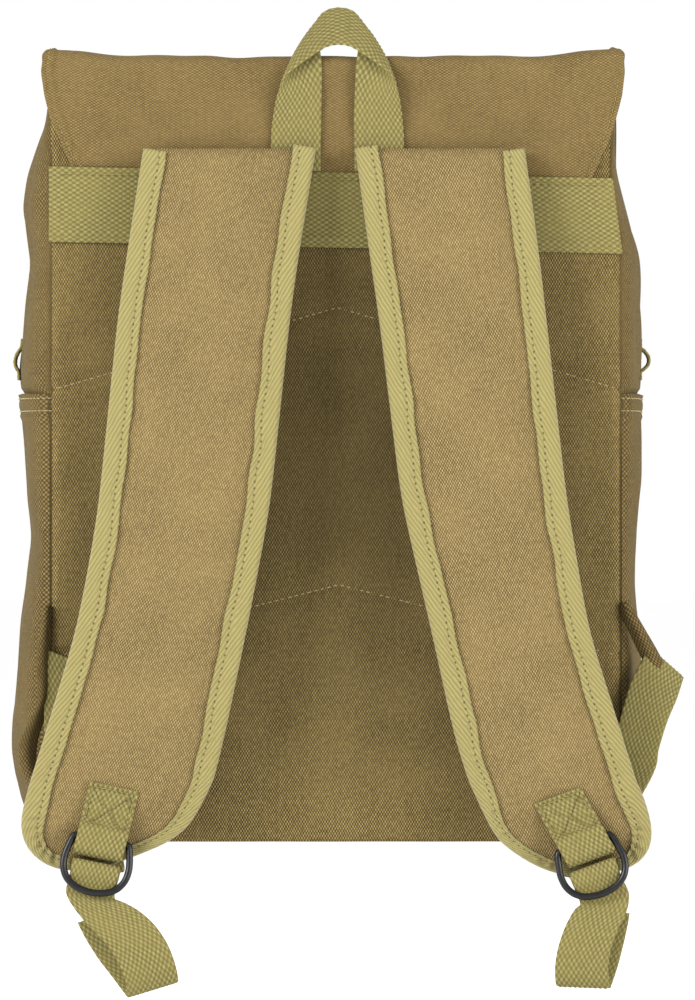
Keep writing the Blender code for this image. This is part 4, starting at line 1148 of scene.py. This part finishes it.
for side in ("left", "right"):
    origin, _, way_across, way_down = ring_axes(side)
    lying = WEBBING_WALL / 2
    raised = bar_level(1) + RING_WIRE / 2 + GAP + WEBBING_WALL / 2
    bend = (raised - lying) / 2
    doubled = lying + WEBBING_WALL + GAP
    path = [(-TAB_SEWN, lying), (-TAB_SEWN * 0.75, lying), (-TAB_TURNBACK - RING_WIRE, lying + GAP),
            (-TAB_TURNBACK, doubled), (-RING_WIRE * 3.2, doubled + GAP), (-RING_WIRE * 1.6, raised - GAP),
            (0.0, raised)]
    for k in range(9):
        turn = k * math.pi / 8
        path.append((TAB_LOOP - bend + bend * math.sin(turn), lying + bend + bend * math.cos(turn)))
    path += [(RING_WIRE, lying), (WEBBING_WALL - TAB_TURNBACK, lying)]
    points = through([origin + way_down * d + np.array([0.0, -o, 0.0]) for d, o in path], 5)
    across = np.tile(way_across * WEBBING_HALF, (len(points), 1))
    tab, width, length = webbing_strip("ring_tab_webbing_" + side, points, across, webbing, press=tab_rows)
    hand_over(tab, "cotton_webbing", "ring_tab_" + side)
    level = np.array([0.0, -(WEBBING_WALL + 0.0004), 0.0])
    upper = -TAB_SEWN + 0.002
    lower = -0.0055
    aside = 0.0105
    corner_points = []
    for d, a in ((upper, -aside), (upper, aside), (lower, aside), (lower, -aside), (upper, -aside)):
        raise_by = np.interp(d, (-0.020, -0.014), (0.0, WEBBING_WALL + GAP))
        corner_points.append(origin + way_down * d + way_across * a + level - np.array([0.0, raise_by, 0.0]))
    rows = []
    for start, end in zip(corner_points, corner_points[1:]):
        line = np.array([start + (end - start) * t for t in np.linspace(0, 1, 12)])
        rows.append((line, np.tile((0.0, -1.0, 0.0), (12, 1))))
    tab_thread = sew("ring_tab_thread_" + side, rows, olive_thread, *FINE_STITCH)
    hand_over(tab_thread, "binding_tape")

# D-rings
# Two black rings of round steel wire hang in each tab, stove-enamelled: near black and glossy,
# with soft broad highlights.
enamel, tree, shader, grain = speckled("black_enamel_on_steel", "#030303", "#09090a", 350.0, 3.0)
rough = put(tree, "ShaderNodeMapRange", {0: grain, 1: 0.3, 2: 0.7, 3: 0.3, 4: 0.45})
tree.links.new(rough, shader.inputs["Roughness"])
shader.inputs["Specular IOR Level"].default_value = 0.3
RING_FORM = [(0.0, 0.0), (7.0, 0.0), (12.6, 0.1), (14.2, 1.3), (14.9, 3.6), (15.9, 8.0), (16.4, 12.6),
             (15.6, 17.8), (12.8, 22.4), (8.2, 25.4), (3.0, 26.6), (0.0, 26.8)]
RING_LEAN = math.radians(9)

for side in ("left", "right"):
    origin, way_down, way_across, _ = ring_axes(side)
    for index, depth_name in ((0, "back"), (1, "front")):
        lean = RING_LEAN * index
        ring_down = way_down * math.cos(lean) - np.array([0.0, math.sin(lean), 0.0])
        bar = origin - np.array([0.0, bar_level(index), 0.0])
        half_ring = [(a / 1000, d / 1000) for a, d in RING_FORM]
        flat = half_ring + [(-a, d) for a, d in half_ring[-2:0:-1]]
        knots = [bar + way_across * a + ring_down * d for a, d in flat]
        line = through(knots + [knots[0]], 6)[:-1]
        flow = np.roll(line, -1, axis=0) - np.roll(line, 1, axis=0)
        flow /= np.linalg.norm(flow, axis=1, keepdims=True)
        plane = np.cross(way_across, ring_down)
        outward = np.cross(flow, plane)
        around = 16
        turns = np.arange(around) * 2 * math.pi / around
        points = (line[:, None, :] + outward[:, None, :] * (RING_WIRE * 0.57 * np.cos(turns))[None, :, None]
                  + plane[None, None, :] * (RING_WIRE * 0.53 * np.sin(turns))[None, :, None])
        count = len(line)
        quads = tube_quads(around, count + 1) % (count * around)
        ring = shape_mesh("d_ring_wire_" + side + "_" + depth_name, points.reshape(-1, 3), quads,
                          np.zeros((count * around, 2)))
        ring.data.materials.append(enamel)
        turn_outward(ring)
        hand_over(ring, "black_wire", "d_ring_" + side + "_" + depth_name)

# Side tabs
# A folded canvas tab in each side seam takes the upper end of the adjuster webbing. The left one
# lies back and gapes below; the right one is pulled outwards.
TAB_LEFT = [(-143.6, 1.0, -282, -146.4, -2.0, -282), (-143.4, 0.0, -296, -148.6, -4.5, -297),
            (-143.6, -0.6, -310, -150.2, -6.0, -313), (-144.0, -1.0, -324, -149.0, -7.0, -329),
            (-147.0, -1.5, -338, -154.0, -7.5, -341), (-150.5, -1.5, -350, -158.4, -6.0, -351),
            (-151.0, -1.0, -362, -157.4, -4.0, -363), (-148.0, 0.0, -372, -152.0, -1.5, -374)]
TAB_RIGHT = [(143.0, 1.0, -281, 146.0, -1.0, -279.5), (144.8, 0.5, -289, 150.5, -2.0, -287.5),
             (148.5, 0.0, -296.5, 155.5, -2.5, -296.0), (152.0, 0.0, -304, 160.5, -2.0, -304.5),
             (156.5, 0.5, -313, 165.5, -0.6, -314)]
SIDE_TAB_WALL = 0.0022

for side, table in (("left", TAB_LEFT), ("right", TAB_RIGHT)):
    rows = through(np.array(table) / 1000, 6)
    t = np.linspace(0, 1, 14)
    first = rows[:, None, :3]
    second = rows[:, None, 3:]
    points = first + (second - first) * t[None, :, None]
    points[:, :, 1] -= 0.0025 * np.sin(math.pi * t)[None, :]
    lengths = run_lengths(rows[:, :3])
    widths = np.linalg.norm(rows[:, 3:] - rows[:, :3], axis=1)
    uvs = np.stack([(widths[:, None] * t[None, :]).ravel(), np.repeat(lengths, 14)], axis=1)
    quads = grid_quads(14, len(rows))
    if side == "right":
        quads = quads[:, ::-1]
    tab = shape_mesh("side_tab_canvas_" + side, points.reshape(-1, 3), quads, uvs)
    give_wall(tab, SIDE_TAB_WALL, side_canvas, offset=0)
    hand_over(tab, "canvas", "anchor_tab_" + side)

# Adjusters
# Webbing from each side tab runs down behind the strap, comes forward over the back ring, out
# between the two rings, and hangs as a loose tail that is doubled back on itself.
# Each row is the middle of the webbing, and half its width across and up, in millimetres
ADJUSTER_START = {
    "left": [(-135.4, -3.0, -308, 11.8, -4.8), (-134.9, -4.4, -318, 12.2, -2.0),
             (-134.0, -6.0, -335, 12.4, 0.0), (-132.0, -9.0, -355, 12.4, 0.0)],
    "right": [(157.5, 3.2, -331, 10.2, -5.6), (163.0, 2.0, -315.5, 9.2, -7.4),
              (165.4, -0.6, -310.8, 8.8, -7.8), (163.2, -3.2, -316, 9.6, -7.0),
              (159.3, -4.6, -324.5, 11.2, -5.2), (154.8, -6.4, -337, 11.2, -3.2),
              (150.4, -8.4, -352, 11.4, -1.6), (146.5, -10.4, -368, 11.8, 0.6)],
}
# From behind the strap's foot up through the rings: down from the bars, out from the strap, half width
CROSSING = [(8.0, -13.0, 12.3), (15.0, -12.6, 12.2), (20.4, -9.0, 12.0), (21.6, -3.6, 11.8),
            (18.6, 0.6, 11.8), (14.4, 3.0, 12.0), (12.2, 5.6, 12.2), (13.2, 8.2, 12.2), (17.6, 8.8, 12.0),
            (22.6, 7.6, 12.0)]
TAILS = {
    "left": [(-122.0, -40.6, -426.0, 12.2, -1.6), (-117.6, -42.2, -430.8, 12.3, 1.6),
             (-110.2, -44.2, -437.2, 12.0, 4.2), (-102.0, -46.0, -445.0, 11.6, 5.3),
             (-96.0, -47.0, -454.0, 12.0, 5.2), (-92.4, -46.6, -463.0, 12.3, 4.6),
             (-91.0, -44.0, -470.2, 12.6, 4.0), (-91.4, -40.6, -472.0, 12.6, 3.9),
             (-94.0, -37.4, -468.6, 12.5, 4.4), (-99.4, -35.4, -461.4, 12.3, 4.8),
             (-106.2, -34.2, -452.4, 12.2, 5.2), (-112.6, -33.6, -442.4, 12.2, 5.0),
             (-116.6, -33.4, -435.0, 12.2, 4.6)],
    "right": [(133.6, -40.6, -427.6, 12.2, 2.6), (131.4, -42.4, -433.6, 13.0, -0.6),
              (127.4, -44.4, -441.0, 13.2, -0.6), (124.0, -46.0, -450.0, 13.2, -0.4),
              (122.2, -46.4, -459.0, 13.2, -0.4), (122.3, -45.0, -466.6, 13.4, -0.4),
              (123.0, -41.4, -470.8, 13.4, -0.5), (124.4, -38.0, -468.6, 13.2, -0.6),
              (127.2, -36.0, -461.0, 13.0, -0.8), (130.0, -34.8, -451.0, 12.9, -0.8),
              (132.6, -34.0, -440.0, 12.8, -0.8), (133.6, -33.8, -434.0, 12.7, -0.8)],
}

for side in ("left", "right"):
    origin, way_down, way_across, _ = ring_axes(side)
    centres = [np.array([x, y, z]) / 1000 for x, y, z, _, _ in ADJUSTER_START[side]]
    halves = [np.array([ax, 0.0, az]) / 1000 for _, _, _, ax, az in ADJUSTER_START[side]]
    for d, o, half in CROSSING:
        centres.append(origin + way_down * d / 1000 - np.array([0.0, o / 1000, 0.0]))
        halves.append(way_across * half / 1000)
    for x, y, z, ax, az in TAILS[side]:
        centres.append(np.array([x, y, z]) / 1000)
        halves.append(np.array([ax, 0.0, az]) / 1000)
    points = through(centres, 6)
    across = through(halves, 6)
    adjuster, width, length = webbing_strip("adjuster_webbing_" + side, points, across, webbing)
    hand_over(adjuster, "cotton_webbing", "adjuster_" + side)
